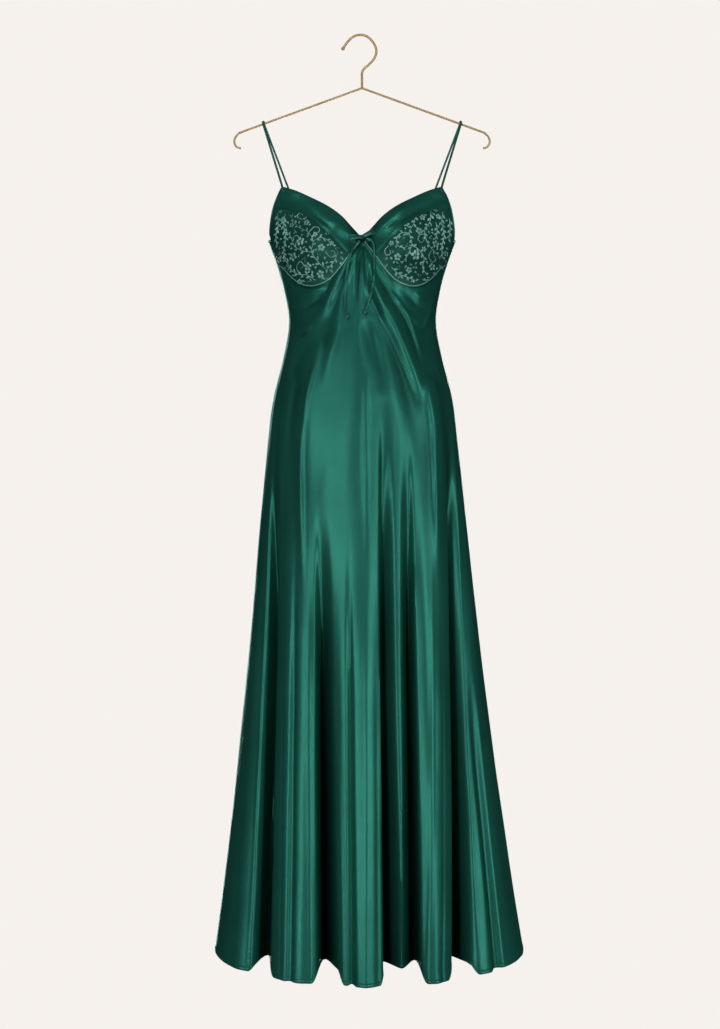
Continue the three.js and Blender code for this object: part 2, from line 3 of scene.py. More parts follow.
import bpy
import numpy as np
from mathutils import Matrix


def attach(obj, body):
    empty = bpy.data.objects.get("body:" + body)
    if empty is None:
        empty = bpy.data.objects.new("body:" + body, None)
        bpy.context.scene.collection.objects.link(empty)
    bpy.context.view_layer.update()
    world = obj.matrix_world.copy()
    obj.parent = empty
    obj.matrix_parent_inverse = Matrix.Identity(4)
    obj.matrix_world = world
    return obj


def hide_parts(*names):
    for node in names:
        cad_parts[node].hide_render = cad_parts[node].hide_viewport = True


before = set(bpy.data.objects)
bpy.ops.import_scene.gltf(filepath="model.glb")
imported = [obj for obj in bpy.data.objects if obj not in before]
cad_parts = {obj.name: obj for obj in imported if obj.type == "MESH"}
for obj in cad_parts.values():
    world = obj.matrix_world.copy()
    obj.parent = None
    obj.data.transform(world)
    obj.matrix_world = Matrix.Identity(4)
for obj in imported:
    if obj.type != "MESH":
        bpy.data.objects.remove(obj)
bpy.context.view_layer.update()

# An evening gown of green satin on a gilt wire hanger. The cloth's tables are in millimetres
# and degrees, as a cutter writes them, and mm turns them into the scene's metres.
mm = 0.001

gown = {
    "hem": -1493,            # height of the hem in the folds' hollows
    "hemDip": 22,            # how much lower the crests hang
    "hemRound": 1.5,         # how much wider than a hollow the hem's rise at it is
    "foldTop": -640,         # height above which the folds run straight up
    "sideSeam": 78,          # degrees from the centre front to the side seam
    "armholeFoot": -338,
    "backDip": 10,
    "bustSpread": 72,        # distance of a cup's crown from the centre front
    "bustCrown": -366,
    "bustDepth": 32,
    "bustAcross": 44,        # how far the crown's roundness reaches sideways, up and down
    "bustAbove": 62,
    "bustBelow": 34,
    "cloth": 0.7,            # thickness of the satin with its facing
    "spread": 100,           # millimetres for one radian in the pattern's own coordinates
    "seamGap": 0.3,
    "pipingRadius": 1.5,
    "bindingRadius": 1.3,
    "underlap": 4,           # how far the cup runs up under the band
    "bandLift": 1.1,         # how far the band's face stands off the cup
    "startWidth": 0.7,       # share of its width and of its depth that a hollow has where it starts
    "startDepth": 0.45,
    "growIn": 0.45,          # share of its fall over which a hollow fades in
    "shoulderWidth": 2.5,    # how much wider than a hollow its rounded shoulders are
    "shoulderShare": 0.26,   # share of a hollow's depth that its shoulders take
    "shadowPaintDepth": 46,        # depth of a fold at which its painted shade is full
    "creaseSteps": 10,       # straight pieces that a crease's bent line is measured by
}

# The gown's ring at each height: height, half width, sideways shift, depth of front and of back
rings = np.array([
    (-245, 160, 0, 56, 56),
    (-290, 161, 0, 64, 60),
    (-330, 155.5, 0, 69, 66),
    (-372, 141, 0, 74, 70),
    (-416, 128.5, 0, 80, 74),
    (-470, 120.5, 0.6, 85, 80),
    (-531, 130.5, 0.8, 92, 92),
    (-597, 147, 1, 99, 103),
    (-662, 155.3, 1, 104, 108),
    (-794, 168.5, 2, 110, 112),
    (-1056, 195, 5, 118, 116),
    (-1319, 227, 9, 126, 122),
    (-1530, 258, 12, 132, 128),
])

# Hollows between the skirt's folds: height of the start, degrees at foldTop and at the hem,
# half width, depth, steep side, and how far the floor tucks under that side
hollows = [
    (-640, -62, -43.5, 20, 50, -0.3, -8),
    (-800, -41, -29.5, 9, 6, 0, 0),
    (-760, -24, -15, 20, 62, -0.3, -9),
    (-800, -8, -6.2, 8, 10, 0, 0),
    (-600, 13.5, 8.6, 17, 57, -0.35, -9),
    (-640, 26, 15.8, 16, 56, 0.3, 8),
    (-600, 66, 36.5, 21, 64, 0, 0),
    (-1000, 70, 54, 14, 12, 0, 0),
    (-900, 108, 109, 22, 30, 0.3, 6),
    (-760, 125, 131, 30, 54, -0.4, -10),
    (-820, 152, 156, 28, 58, 0.3, 10),
    (-780, 181, 179, 28, 52, -0.3, -8),
    (-840, 209, 205, 28, 58, 0.4, 10),
    (-760, 238, 232, 30, 50, -0.3, -8),
    (-940, 254, 253, 22, 26, 0, 0),
]

# Finer lines that run down the folds, with the same columns; a negative depth is a ridge
fineLines = [
    (-700, -68, -50, 7, -1.6, 0, 0),
    (-900, -50, -34, 5, 1.2, 0.3, 0),
    (-760, -33, -21.5, 6, -1.8, 0.2, 0),
    (-980, -29, -18.5, 4, 1.4, 0, 0),
    (-1100, -16, -9.5, 4, -1.2, 0, 0),
    (-900, 2, -1.5, 6, -1.8, 0.3, 0),
    (-960, 7, 3, 5, 1.4, 0, 0),
    (-760, 25, 11.4, 5, -1.5, 0, 0),
    (-780, 44, 21.5, 6, -1.8, -0.3, 0),
    (-900, 50, 27, 4, 1.5, 0, 0),
    (-820, 66, 44, 6, -1.6, 0, 0),
    (-980, 90, 78, 8, -1.4, 0, 0),
    (-820, 114, 116, 8, -1.8, 0, 0),
    (-900, 138, 143, 6, 1.4, 0, 0),
    (-860, 166, 168, 8, -1.8, 0.2, 0),
    (-940, 195, 192, 7, 1.5, 0, 0),
    (-840, 223, 219, 8, -1.8, 0, 0),
    (-900, 248, 246, 7, -1.6, 0, 0),
]

# Soft folds of the front: x and height of the start, a middle point and the end, half width, height
softFolds = [
    (-5, -362, -34, -405, -66, -500, 8, 2.6),
    (-4, -358, -20, -400, -44, -520, 7, 2.8),
    (-3, -356, -11, -398, -24, -500, 6, 2.6),
    (-1, -355, -3, -400, -6, -540, 6, 2.8),
    (2, -356, 9, -400, 14, -470, 5.5, 2.4),
    (4, -360, 20, -418, 50, -530, 8, 4.5),
    (20, -385, 44, -428, 80, -520, 6, 2.8),
    (12, -430, 62, -560, 84, -750, 20, -6),
    (-66, -500, -80, -570, -92, -760, 26, 5),
    (100, -560, 117, -660, 114, -900, 14, 7),
]

# Creases drawn over the front, and over the back as seen from behind: start, halfway point and
# end in the view from straight ahead, half width, and height, negative for a trough
frontCreases = [
    (2, -364, 24, -446, 58, -520, 8, 4.5),
    (4, -390, 72, -535, 132, -690, 12, 8.5),
    (104, -570, 120, -612, 128, -710, 8, 4.0),
    (112, -640, 115, -740, 116, -900, 5, 4.0),
    (44, -430, 80, -488, 100, -572, 3.6, 4.2),
    (60, -452, 80, -473, 99, -484, 3.4, 2.8),
    (95, -487, 110, -460, 121, -420, 3.8, 3.2),
    (84, -430, 98, -437, 112, -428, 4.5, 3.0),
    (26, -402, 60, -458, 92, -520, 7, -3.4),
    (62, -424, 88, -452, 112, -462, 7, -2.6),
    (4, -476, 24, -548, 44, -660, 13, -4.2),
    (26, -600, 42, -680, 50, -800, 20, -3.0),
    (6, -560, 5, -700, 6, -900, 5, 2.0),
    (-3, -362, -7, -412, -9, -486, 3.0, -2.4),
    (3, -362, 5, -402, 5, -470, 4.0, 2.8),
    (8, -368, 10, -402, 10, -446, 2.6, -2.0),
    (-6, -366, -19, -404, -27, -462, 3.8, 2.8),
    (-13, -376, -29, -412, -50, -458, 4.0, -2.6),
    (-22, -388, -48, -436, -92, -506, 8, 4.2),
    (-54, -424, -80, -431, -108, -447, 4.5, 3.0),
    (-62, -440, -84, -452, -110, -462, 5.0, -2.4),
    (-80, -482, -92, -489, -108, -487, 3.0, 2.4),
    (-88, -492, -98, -498, -110, -497, 3.0, -1.8),
    (-20, -440, -38, -520, -58, -620, 20, 3.4),
    (-36, -486, -52, -536, -62, -600, 9, 3.0),
    (-72, -540, -92, -616, -98, -720, 5.0, 3.6),
    (-98, -640, -99, -780, -95, -920, 5.0, 4.0),
    (-96, -520, -110, -600, -114, -720, 9, -1.6),
    (-108, -560, -122, -630, -128, -740, 8, 2.6),
    (112, -470, 120, -520, 130, -600, 5.0, 2.0),
    (-114, -470, -119, -515, -130, -570, 5.0, 1.8),
    (-10, -470, -12, -560, -16, -700, 13, 1.6),
]
backCreases = [
    (0, -352, 4, -400, -4, -470, 9, -1.8),
    (-52, -350, -44, -400, -60, -470, 7, 1.6),
    (48, -350, 40, -410, 62, -480, 7, 1.7),
    (-100, -420, -62, -450, -16, -452, 6, 1.8),
    (102, -430, 60, -462, 12, -470, 6, 1.7),
    (-108, -450, -66, -480, -20, -486, 5, -1.5),
    (110, -462, 66, -488, 24, -498, 5, -1.4),
    (-112, -500, -84, -560, -70, -680, 10, 2.4),
    (112, -500, 86, -570, 76, -690, 10, 2.4),
    (-50, -520, -42, -600, -48, -720, 9, -2.2),
    (52, -520, 42, -610, 50, -730, 9, -2.0),
    (2, -510, -6, -600, 4, -740, 12, 2.2),
    (24, -540, 20, -600, 26, -690, 6, 1.4),
    (-24, -560, -20, -620, -28, -700, 6, 1.4),
]

# Soft puffs of the two bands: distance and height, half length, half width, heading, and height
bandPuffs = {
    "left": [(38, -330, 20, 11, 38, 6.0), (80, -297, 20, 7, 36, 2.4), (114, -272, 16, 8, 28, 3.6),
             (60, -324, 14, 3, 40, -1.6), (18, -346, 10, 3, 46, 2.0)],
    "right": [(34, -332, 16, 8, 44, 5.0), (66, -303, 22, 8, 38, 4.8), (96, -286, 18, 8, 30, 2.6),
              (44, -328, 16, 3, 42, -2.0), (121, -268, 12, 8, 24, 3.2), (80, -310, 18, 3, 34, -1.4)],
}

# Outlines on the front of the bodice, seen from straight ahead: distance from the centre front
# and height, from the side towards the centre
underbustLine = [
    (137, -378), (128, -386), (115, -402), (100, -414.5), (84, -420.5), (67, -419), (50, -410.5),
    (33, -392), (19, -372), (9, -358.5), (1.6, -349),
]
bandSeamLine = [
    (144, -289.5), (122, -293), (100, -304), (78, -320), (61, -335), (45, -351), (22.5, -374),
]
necklineLine = [
    (129.5, -255), (105, -265.5), (78, -280.5), (53, -295.5), (33, -311), (17.5, -328), (1.6, -345),
]
armholeLine = [(129.5, -255), (138, -273), (144, -289.5), (149, -314), (150, -338)]


def smooth(value, low, high):
    t = np.clip((value - low) / (high - low), 0, 1)
    return t * t * (3 - 2 * t)


def between(start, end, share):
    return start + (end - start) * share


def ringValue(column, z):
    heights = rings[:, 0]
    last = len(rings) - 1
    height = np.clip(z, heights[-1], heights[0])
    lower = np.clip(np.searchsorted(-heights, -height), 1, last)
    upper = lower - 1

    def slope(a, b):
        return (rings[b, column] - rings[a, column]) / (heights[b] - heights[a])

    span = heights[lower] - heights[upper]
    t = (height - heights[upper]) / span
    m0 = slope(np.maximum(lower - 2, 0), lower) * span
    m1 = slope(upper, np.minimum(lower + 1, last)) * span
    t2 = t * t
    t3 = t2 * t
    return (rings[upper, column] * (2 * t3 - 3 * t2 + 1) + m0 * (t3 - 2 * t2 + t)
            + rings[lower, column] * (3 * t2 - 2 * t3) + m1 * (t3 - t2))


def ringAt(z):
    return [ringValue(column, z) for column in (1, 2, 3, 4)]


def foldShare(z):
    return np.clip((gown["foldTop"] - z) / (gown["foldTop"] - gown["hem"]), 0, 1)


# How deep a hollow is at an angle (radians) and height, and how far it slides its floor
def hollowAt(hollow, angle, z, ring):
    startZ, top, hem, halfWidth, depth, skew, tuck = hollow
    fall = (startZ - z) / (startZ - gown["hem"])
    middle = np.radians(between(top, hem, foldShare(z)))
    turn = angle - middle
    turn = turn - np.round(turn / (2 * np.pi)) * 2 * np.pi
    depthOfRing = np.where(np.cos(middle) > 0, ring[2], ring[3])
    speed = np.hypot(ring[0] * np.cos(middle), depthOfRing * np.sin(middle))
    s = turn * speed / (halfWidth * between(gown["startWidth"], 1, fall))
    reach = np.where(s < skew, 1 + skew, 1 - skew)
    bump = np.where(np.abs(s) < 1, 0.5 + 0.5 * np.cos(np.pi * (s - skew) / reach), 0)
    shoulder = 0.5 + 0.5 * np.cos(np.pi * np.clip(s / gown["shoulderWidth"], -1, 1))
    deepening = between(gown["startDepth"], 1, np.minimum(fall, 1))
    growth = np.where(fall > 0, smooth(fall, 0, gown["growIn"]) * deepening, 0)
    rounding = gown["shoulderShare"] * depth
    return ((depth - rounding) * bump + rounding * shoulder) * growth, tuck * bump * growth


# Painted shade of the skirt's folds: how far into its folds the skirt lies at each place, from 0 on the
# crests to 1 in the hollows
def paintedFoldDarkness(angle, z):
    ring = ringAt(z)
    inward = sum(hollowAt(hollow, angle, z, ring)[0] for hollow in hollows)
    return np.clip(inward / gown["shadowPaintDepth"], 0, 1)


def softFoldRelief(x, z):
    side = (np.abs(x) - gown["bustSpread"]) / gown["bustAcross"]
    above = z > gown["bustCrown"]
    rise = (z - gown["bustCrown"]) / np.where(above, gown["bustAbove"], gown["bustBelow"])
    relief = gown["bustDepth"] * np.exp(-side * side - rise * rise)
    for x0, z0, x1, z1, x2, z2, width, height in softFolds:
        t = (z0 - z) / (z0 - z2)
        middle = (z0 - z1) / (z0 - z2)
        bend = (x1 - between(x0, x2, middle)) / (middle * (1 - middle))
        s = (x - between(x0, x2, t) - bend * t * (1 - t)) / (width * between(0.45, 1.2, np.clip(t, 0, 1)))
        ridge = height * np.exp(-s * s) * smooth(t, 0, 0.12) * (1 - smooth(t, 0.45, 1))
        relief = relief + np.where((t > 0) & (t < 1), ridge, 0)
    return relief


# Ridges and troughs drawn one by one: each follows a bent line and dies away towards both ends
def creaseRelief(x, z, table):
    relief = np.zeros(np.shape(x))
    steps = gown["creaseSteps"]
    for x0, z0, x1, z1, x2, z2, width, height in table:
        bendX, bendZ = 2 * x1 - (x0 + x2) / 2, 2 * z1 - (z0 + z2) / 2
        box = (z < max(z0, z1, z2) + 3 * width) & (z > min(z0, z1, z2) - 3 * width)
        if not box.any():
            continue
        gapLeast = np.full(np.shape(x), 1e6)
        along = np.zeros(np.shape(x))
        for k in range(steps):
            a, b = [
                np.array(((1 - t) ** 2 * x0 + 2 * t * (1 - t) * bendX + t * t * x2,
                          (1 - t) ** 2 * z0 + 2 * t * (1 - t) * bendZ + t * t * z2))
                for t in (k / steps, (k + 1) / steps)
            ]
            run = b - a
            t = np.clip(((x - a[0]) * run[0] + (z - a[1]) * run[1]) / (run @ run), 0, 1)
            gap = np.hypot(x - a[0] - t * run[0], z - a[1] - t * run[1])
            nearer = gap < gapLeast
            gapLeast = np.where(nearer, gap, gapLeast)
            along = np.where(nearer, (k + t) / steps, along)
        taper = np.sin(np.pi * np.clip(along, 0, 1) ** 0.65) ** 1.5
        relief = relief + height * np.exp(-(gapLeast / width) ** 2) * taper
    return relief


# Slow unevenness of hanging satin, a fraction of a millimetre
def ripple(angle, z):
    fall = smooth(-z, 420, 700)
    wave = (np.sin(11 * angle + z / 61) + np.sin(17 * angle - z / 43 + 1.7)
            + np.sin(29 * angle + z / 97 + 0.6) + 0.6 * np.sin(7 * angle - z / 29 + 2.4))
    return 0.16 * wave * between(0.45, 1, fall)


# A point on the outside of the gown, in millimetres
def gownPoint(angle, z):
    angle, z = np.broadcast_arrays(np.asarray(angle, float), np.asarray(z, float))
    ring = ringAt(z)
    facing = np.cos(angle)
    depth = np.where(facing > 0, ring[2], ring[3])
    inward = np.zeros(z.shape)
    slide = np.zeros(z.shape)
    for hollow in hollows + fineLines:
        deep, slid = hollowAt(hollow, angle, z, ring)
        inward = inward + deep
        slide = slide + slid
    across = ring[0] * np.sin(angle)
    normalX = np.sin(angle) / ring[0]
    normalY = -facing / depth
    size = np.hypot(normalX, normalY)
    normalX = normalX / size
    normalY = normalY / size
    frontShare = smooth(facing, 0.05, 0.5)
    backShare = smooth(-facing, 0.05, 0.5)
    relief = (softFoldRelief(across, z) + creaseRelief(across, z, frontCreases)) * frontShare
    backRelief = creaseRelief(-across, z, backCreases) * backShare
    inward = inward - ripple(angle, z)
    x = ring[1] + across - normalX * inward - normalY * slide
    y = -depth * facing - normalY * inward + normalX * slide - relief + backRelief
    return np.stack([x, y, z], axis=-1)


def gownNormal(angle, z):
    around = gownPoint(angle + 0.004, z) - gownPoint(angle - 0.004, z)
    up = gownPoint(angle, z + 1.5) - gownPoint(angle, z - 1.5)
    normal = np.cross(around, up)
    return normal / np.linalg.norm(normal, axis=-1, keepdims=True)


def angleOf(x, z):
    ring = ringAt(np.asarray(z, float))
    return np.arcsin(np.clip((np.asarray(x, float) - ring[1]) / ring[0], -1, 1))


def hemHeight(angle):
    z = np.full(np.shape(angle), float(gown["hem"]))
    ring = ringAt(z)
    wide = [(*hollow[:3], hollow[3] * gown["hemRound"], hollow[4], 0, 0) for hollow in hollows]
    inward = sum(hollowAt(hollow, angle, z, ring)[0] for hollow in wide)
    crest = 1 - smooth(inward, 14, 40)
    return gown["hem"] - gown["hemDip"] * crest * np.abs(np.cos(angle))


# A smooth line through points, in equal steps of length
def smoothLine(points, count, perSpan=24):
    points = np.asarray(points, float)
    padded = np.vstack([points[:1], points, points[-1:]])
    samples = []
    for k in range(len(points) - 1):
        p0, p1, p2, p3 = padded[k:k + 4]
        for t in np.arange(perSpan) / perSpan:
            v0 = (p2 - p0) / 2
            v1 = (p3 - p1) / 2
            samples.append((2 * p1 - 2 * p2 + v0 + v1) * t ** 3
                           + (3 * p2 - 3 * p1 - 2 * v0 - v1) * t ** 2 + v0 * t + p1)
    samples.append(points[-1])
    samples = np.array(samples)
    run = np.concatenate([[0], np.cumsum(np.linalg.norm(np.diff(samples, axis=0), axis=1))])
    wanted = np.linspace(0, run[-1], count)
    return np.stack([np.interp(wanted, run, samples[:, n]) for n in range(points.shape[1])], axis=1)


# A front line in the pattern's coordinates, moved down or outwards by offset
def frontCurve(line, offset=0):
    spread = gown["spread"]
    x, z = np.array(line).T
    curve = smoothLine(np.stack([angleOf(x, z) * spread, z], axis=1), 201)
    if offset == 0:
        return curve
    tangent = np.gradient(curve, axis=0)
    ring = ringAt(curve[:, 1])
    angle = curve[:, 0] / spread
    speed = np.hypot(ring[0] * np.cos(angle), ring[2] * np.sin(angle))
    sideways = np.stack([-tangent[:, 1], tangent[:, 0] * speed / spread], axis=1)
    sideways /= np.linalg.norm(sideways, axis=1, keepdims=True)
    moved = curve + np.stack([sideways[:, 0] * offset * spread / speed, sideways[:, 1] * offset], axis=1)
    return smoothLine(moved[::8], 201)


# Angle and height on a front curve at each share of its length
def placeOn(curve, share):
    shares = np.linspace(0, 1, len(curve))
    share = np.clip(share, 0, 1)
    angle = np.maximum(np.interp(share, shares, curve[:, 0]), 0) / gown["spread"]
    return np.stack([angle, np.interp(share, shares, curve[:, 1])], axis=-1)


def crossing(curve, angle):
    angles = curve[:, 0] / gown["spread"]
    shares = np.linspace(0, 1, len(curve))
    if angles[-1] > angles[0]:
        return float(np.interp(angle, angles, shares))
    return float(np.interp(angle, angles[::-1], shares[::-1]))


# Mesh helpers
def deselectAll():
    for item in bpy.context.selected_objects:
        item.select_set(False)


def makeActive(item):
    deselectAll()
    item.select_set(True)
    bpy.context.view_layer.objects.active = item


def applyModifier(item, kind, **values):
    makeActive(item)
    modifier = item.modifiers.new(kind.title(), kind)
    for key, value in values.items():
        setattr(modifier, key, value)
    bpy.ops.object.modifier_apply(modifier=modifier.name)


def editAll(item, action, **values):
    makeActive(item)
    bpy.ops.object.mode_set(mode="EDIT")
    bpy.ops.mesh.select_all(action="SELECT")
    action(**values)
    bpy.ops.object.mode_set(mode="OBJECT")


def shadeSmooth(item):
    makeActive(item)
    bpy.ops.object.shade_smooth()
    return item


def cornersOf(item):
    corners = np.empty(len(item.data.vertices) * 3)
    item.data.vertices.foreach_get("co", corners)
    return corners.reshape(-1, 3)


def direction(degrees):
    return np.array([math.cos(math.radians(degrees)), math.sin(math.radians(degrees))])


# A sheet of cloth: a grid primitive laid on rows of points, from the bottom row upwards, with painted shade
# at each point when given
def layGrid(name, points, closed=False, shade=None):
    rows, columns = points.shape[:2]
    deselectAll()
    bpy.ops.mesh.primitive_grid_add(x_subdivisions=columns - 1, y_subdivisions=rows - 1, size=1)
    sheet = bpy.context.object
    sheet.name = name
    sheet.data.name = name
    sheet.data.vertices.foreach_set("co", (points * mm).ravel())
    width = np.linalg.norm(np.diff(points, axis=1), axis=2).sum(axis=1).mean() * mm
    height = np.linalg.norm(np.diff(points, axis=0), axis=2).sum(axis=0).mean() * mm
    uvs = np.empty(len(sheet.data.loops) * 2)
    layer = sheet.data.uv_layers.active.data
    layer.foreach_get("uv", uvs)
    layer.foreach_set("uv", uvs * np.tile([width, height], len(uvs) // 2))
    # Painted shade, which the materials darken the colour by
    if shade is not None:
        sheet.data.attributes.new("paintedShade", "FLOAT", "POINT").data.foreach_set("value", shade.ravel())
    sheet.data.update()
    if closed:
        editAll(sheet, bpy.ops.mesh.remove_doubles, threshold=1e-6)
    return shadeSmooth(sheet)


def thicken(sheet, thickness):
    applyModifier(sheet, "SOLIDIFY", thickness=thickness * mm, offset=-1, use_even_offset=False)
    makeActive(sheet)
    bpy.ops.object.shade_smooth_by_angle(angle=math.radians(50))


# Directions across a path, carried along it without twist from the first
def frames(path, first):
    tangents = np.gradient(path, axis=0)
    tangents /= np.linalg.norm(tangents, axis=1, keepdims=True)
    side = np.array(first, float)
    sides = []
    for tangent in tangents:
        side = side - tangent * (side @ tangent)
        side = side / np.linalg.norm(side)
        sides.append(side)
    sides = np.array(sides)
    return tangents, sides, np.cross(tangents, sides)


# A closed tube along a path in millimetres; the section's width may change along it, and painted shade may
# darken the middle of its flat faces so that their edges stay lighter as painted highlights
def layTube(name, path, radius, sides=12, flat=1.0, first=(0, -1, 0), widths=None, paintedEdgeLight=0.0):
    tangents, ups, acrosses = frames(path, first)
    widths = np.ones(len(path)) if widths is None else widths
    turns = np.linspace(0, 2 * np.pi, sides + 1)
    ring = (np.cos(turns)[None, :, None] * acrosses[:, None, :]
            + flat * np.sin(turns)[None, :, None] * ups[:, None, :])
    points = path[:, None, :] + ring * radius * widths[:, None, None]
    caps = [np.repeat(path[:1], sides + 1, axis=0)[None], np.repeat(path[-1:], sides + 1, axis=0)[None]]
    caps[0] = caps[0] - tangents[0] * radius * flat * widths[0] * 0.4
    caps[1] = caps[1] + tangents[-1] * radius * flat * widths[-1] * 0.4
    points = np.concatenate([caps[0], points, caps[1]])
    # Painted shade over the middle of the section, leaving its edges light as painted highlights
    shade = np.tile(paintedEdgeLight * (1 - np.abs(np.cos(turns)) ** 6), (len(points), 1))
    item = layGrid(name, points, closed=True, shade=shade)
    editAll(item, bpy.ops.mesh.normals_make_consistent, inside=False)
    return item


def joinAll(items, name):
    deselectAll()
    for item in items:
        item.select_set(True)
    bpy.context.view_layer.objects.active = items[0]
    if len(items) > 1:
        bpy.ops.object.join()
    items[0].name = name
    items[0].data.name = name
    return items[0]


# Materials
def setInputs(node, values):
    for slot, value in values.items():
        node.inputs[slot].default_value = value


def newMaterial(name, color, roughness, metallic=0.0, specular=0.5, tint=None, sheen=0.0, anisotropy=0.0):
    material = bpy.data.materials.new(name)
    material.use_nodes = True
    material.diffuse_color = (*color, 1)
    shader = material.node_tree.nodes["Principled BSDF"]
    setInputs(shader, {"Base Color": (*color, 1), "Roughness": roughness, "Metallic": metallic,
                       "Specular IOR Level": specular, "Anisotropic": anisotropy})
    if tint:
        setInputs(shader, {"Specular Tint": (*tint, 1)})
    if sheen:
        setInputs(shader, {"Sheen Weight": sheen, "Sheen Roughness": 0.45,
                           "Sheen Tint": (*(tint or color), 1)})
    return material


def addNode(material, kind, **values):
    node = material.node_tree.nodes.new(kind)
    for key, value in values.items():
        if hasattr(node, key):
            setattr(node, key, value)
        else:
            node.inputs[key.replace("_", " ")].default_value = value
    return node


def link(material, source, output, target, slot):
    material.node_tree.links.new(source.outputs[output], target.inputs[slot])


# Two tones that drift into each other; stops are the noise's values where each is full
def driftingTones(material, place, dark, light, stops, **noise):
    drift = addNode(material, "ShaderNodeTexNoise", **noise)
    tones = addNode(material, "ShaderNodeValToRGB")
    for element, stop, color in zip(tones.color_ramp.elements, stops, (dark, light)):
        element.position = stop
        element.color = (*color, 1)
    link(material, place, "Object", drift, "Vector")
    link(material, drift, "Fac", tones, "Fac")
    return tones


mixSockets = {"A": 6, "B": 7, "result": 2}      # the Mix node's colour sockets
waveLength = 0.314                              # length of a wave texture's stripe at scale 1


# Colour that drifts between two tones, darkened by painted shade from each piece's shade attribute, a weave
# of fine threads and a slight unevenness
def weave(material, dark, light, patchScale, thread, depth, uneven=0.0):
    shader = material.node_tree.nodes["Principled BSDF"]
    place = addNode(material, "ShaderNodeTexCoord")
    tones = driftingTones(material, place, dark, light, (0.3, 0.7),
                          Scale=patchScale, Detail=4.0, Roughness=0.6)
    # Painted shade: the shade attribute pulls the colour down towards 0.12 of itself
    shaded = addNode(material, "ShaderNodeMix", data_type="RGBA", blend_type="MULTIPLY")
    folds = addNode(material, "ShaderNodeAttribute", attribute_name="paintedShade")
    link(material, folds, "Fac", shaded, 0)
    link(material, tones, "Color", shaded, mixSockets["A"])
    shaded.inputs[mixSockets["B"]].default_value = (0.12, 0.12, 0.12, 1)
    link(material, shaded, mixSockets["result"], shader, "Base Color")
    warp = addNode(material, "ShaderNodeTexWave", wave_type="BANDS", bands_direction="X",
                   Scale=waveLength / thread, Distortion=0.6)
    weft = addNode(material, "ShaderNodeTexWave", wave_type="BANDS", bands_direction="Y",
                   Scale=waveLength / (thread * 3), Distortion=0.9)
    both = addNode(material, "ShaderNodeMath", operation="ADD")
    link(material, place, "UV", warp, "Vector")
    link(material, place, "UV", weft, "Vector")
    link(material, warp, "Fac", both, 0)
    link(material, weft, "Fac", both, 1)
    threads = addNode(material, "ShaderNodeBump", Strength=0.35, Distance=depth)
    link(material, both, "Value", threads, "Height")
    link(material, threads, "Normal", shader, "Normal")
    if uneven:
        crumple = addNode(material, "ShaderNodeTexNoise", Scale=26.0, Detail=3.0, Roughness=0.5)
        stretch = addNode(material, "ShaderNodeMapping", Scale=(1, 1, 0.28))
        soft = addNode(material, "ShaderNodeBump", Strength=0.6, Distance=uneven)
        link(material, place, "Object", stretch, "Vector")
        link(material, stretch, "Vector", crumple, "Vector")
        link(material, crumple, "Fac", soft, "Height")
        link(material, soft, "Normal", threads, "Normal")
    return material


satinLook = {"color": (0.028, 0.19, 0.142), "roughness": 0.34, "metallic": 0.5, "specular": 0.4,
             "tint": (0.4, 1.0, 0.84), "anisotropy": 0.3}
cupLook = {"color": (0.008, 0.062, 0.05), "roughness": 0.46, "metallic": 0.2, "specular": 0.45,
           "tint": (0.4, 1.0, 0.85), "sheen": 0.1}
trimLook = {"color": (0.05, 0.27, 0.2), "roughness": 0.34, "metallic": 0.4, "specular": 0.6,
            "tint": (0.5, 1.0, 0.88), "sheen": 0.15}
pipingLook = {"color": (0.14, 0.5, 0.4), "roughness": 0.34, "metallic": 0.2, "specular": 0.6,
              "tint": (0.6, 1.0, 0.9), "sheen": 0.15}
ribbonLook = {"color": (0.06, 0.36, 0.27), "roughness": 0.3, "metallic": 0.5, "specular": 0.4,
              "tint": (0.4, 1.0, 0.84)}
threadLook = {"color": (0.36, 0.8, 0.67), "roughness": 0.4, "specular": 0.7, "sheen": 0.25}
giltLook = {"color": (0.8, 0.55, 0.24), "roughness": 0.42, "metallic": 0.3}

satin = weave(newMaterial("satin", **satinLook), (0.02, 0.182, 0.134), (0.031, 0.25, 0.186),
              patchScale=5.0, thread=0.0005, depth=0.00004, uneven=0.0012)
cupSatin = weave(newMaterial("cup_satin", **cupLook), (0.008, 0.07, 0.056), (0.024, 0.135, 0.108),
                 patchScale=14.0, thread=0.0004, depth=0.00005, uneven=0.0004)
trimSatin = weave(newMaterial("trim_satin", **trimLook), (0.042, 0.235, 0.175), (0.062, 0.31, 0.235),
                  patchScale=20.0, thread=0.0006, depth=0.00006)
# The bow's ribbon: its light tones are its colour and also stand as painted highlights along the edges, where
# painted shade darkens the middles
ribbonSatin = weave(newMaterial("ribbon_satin", **ribbonLook), (0.06, 0.36, 0.27), (0.1, 0.46, 0.36),
                    patchScale=20.0, thread=0.0006, depth=0.00002)
# The knot is of the same ribbon: this darker copy of the ribbon satin is painted shade on the gathered knot
knotShadedSatin = weave(newMaterial("knot_shaded_satin", **ribbonLook), (0.012, 0.12, 0.09), (0.026, 0.19, 0.145),
                  patchScale=60.0, thread=0.0006, depth=0.00006)
strapSatin = weave(newMaterial("strap_satin", **trimLook), (0.022, 0.15, 0.115), (0.036, 0.21, 0.16),
                   patchScale=20.0, thread=0.0006, depth=0.000008)
pipingSatin = weave(newMaterial("piping_satin", **pipingLook), (0.17, 0.5, 0.41), (0.25, 0.62, 0.52),
                    patchScale=20.0, thread=0.0006, depth=0.00004)
print("materials mixed")


# Camera, level and square to the gown, as in the photograph
def addCamera():
    view = {"place": (-0.0033, -2.2, -0.7847), "lens": 46.93}
    bpy.ops.object.camera_add(location=view["place"], rotation=(math.radians(90), 0, 0))
    camera = bpy.context.object
    camera.name = "camera"
    camera.data.lens = view["lens"]
    camera.data.sensor_width = 36
    camera.data.clip_end = 50
    bpy.context.scene.camera = camera


addCamera()

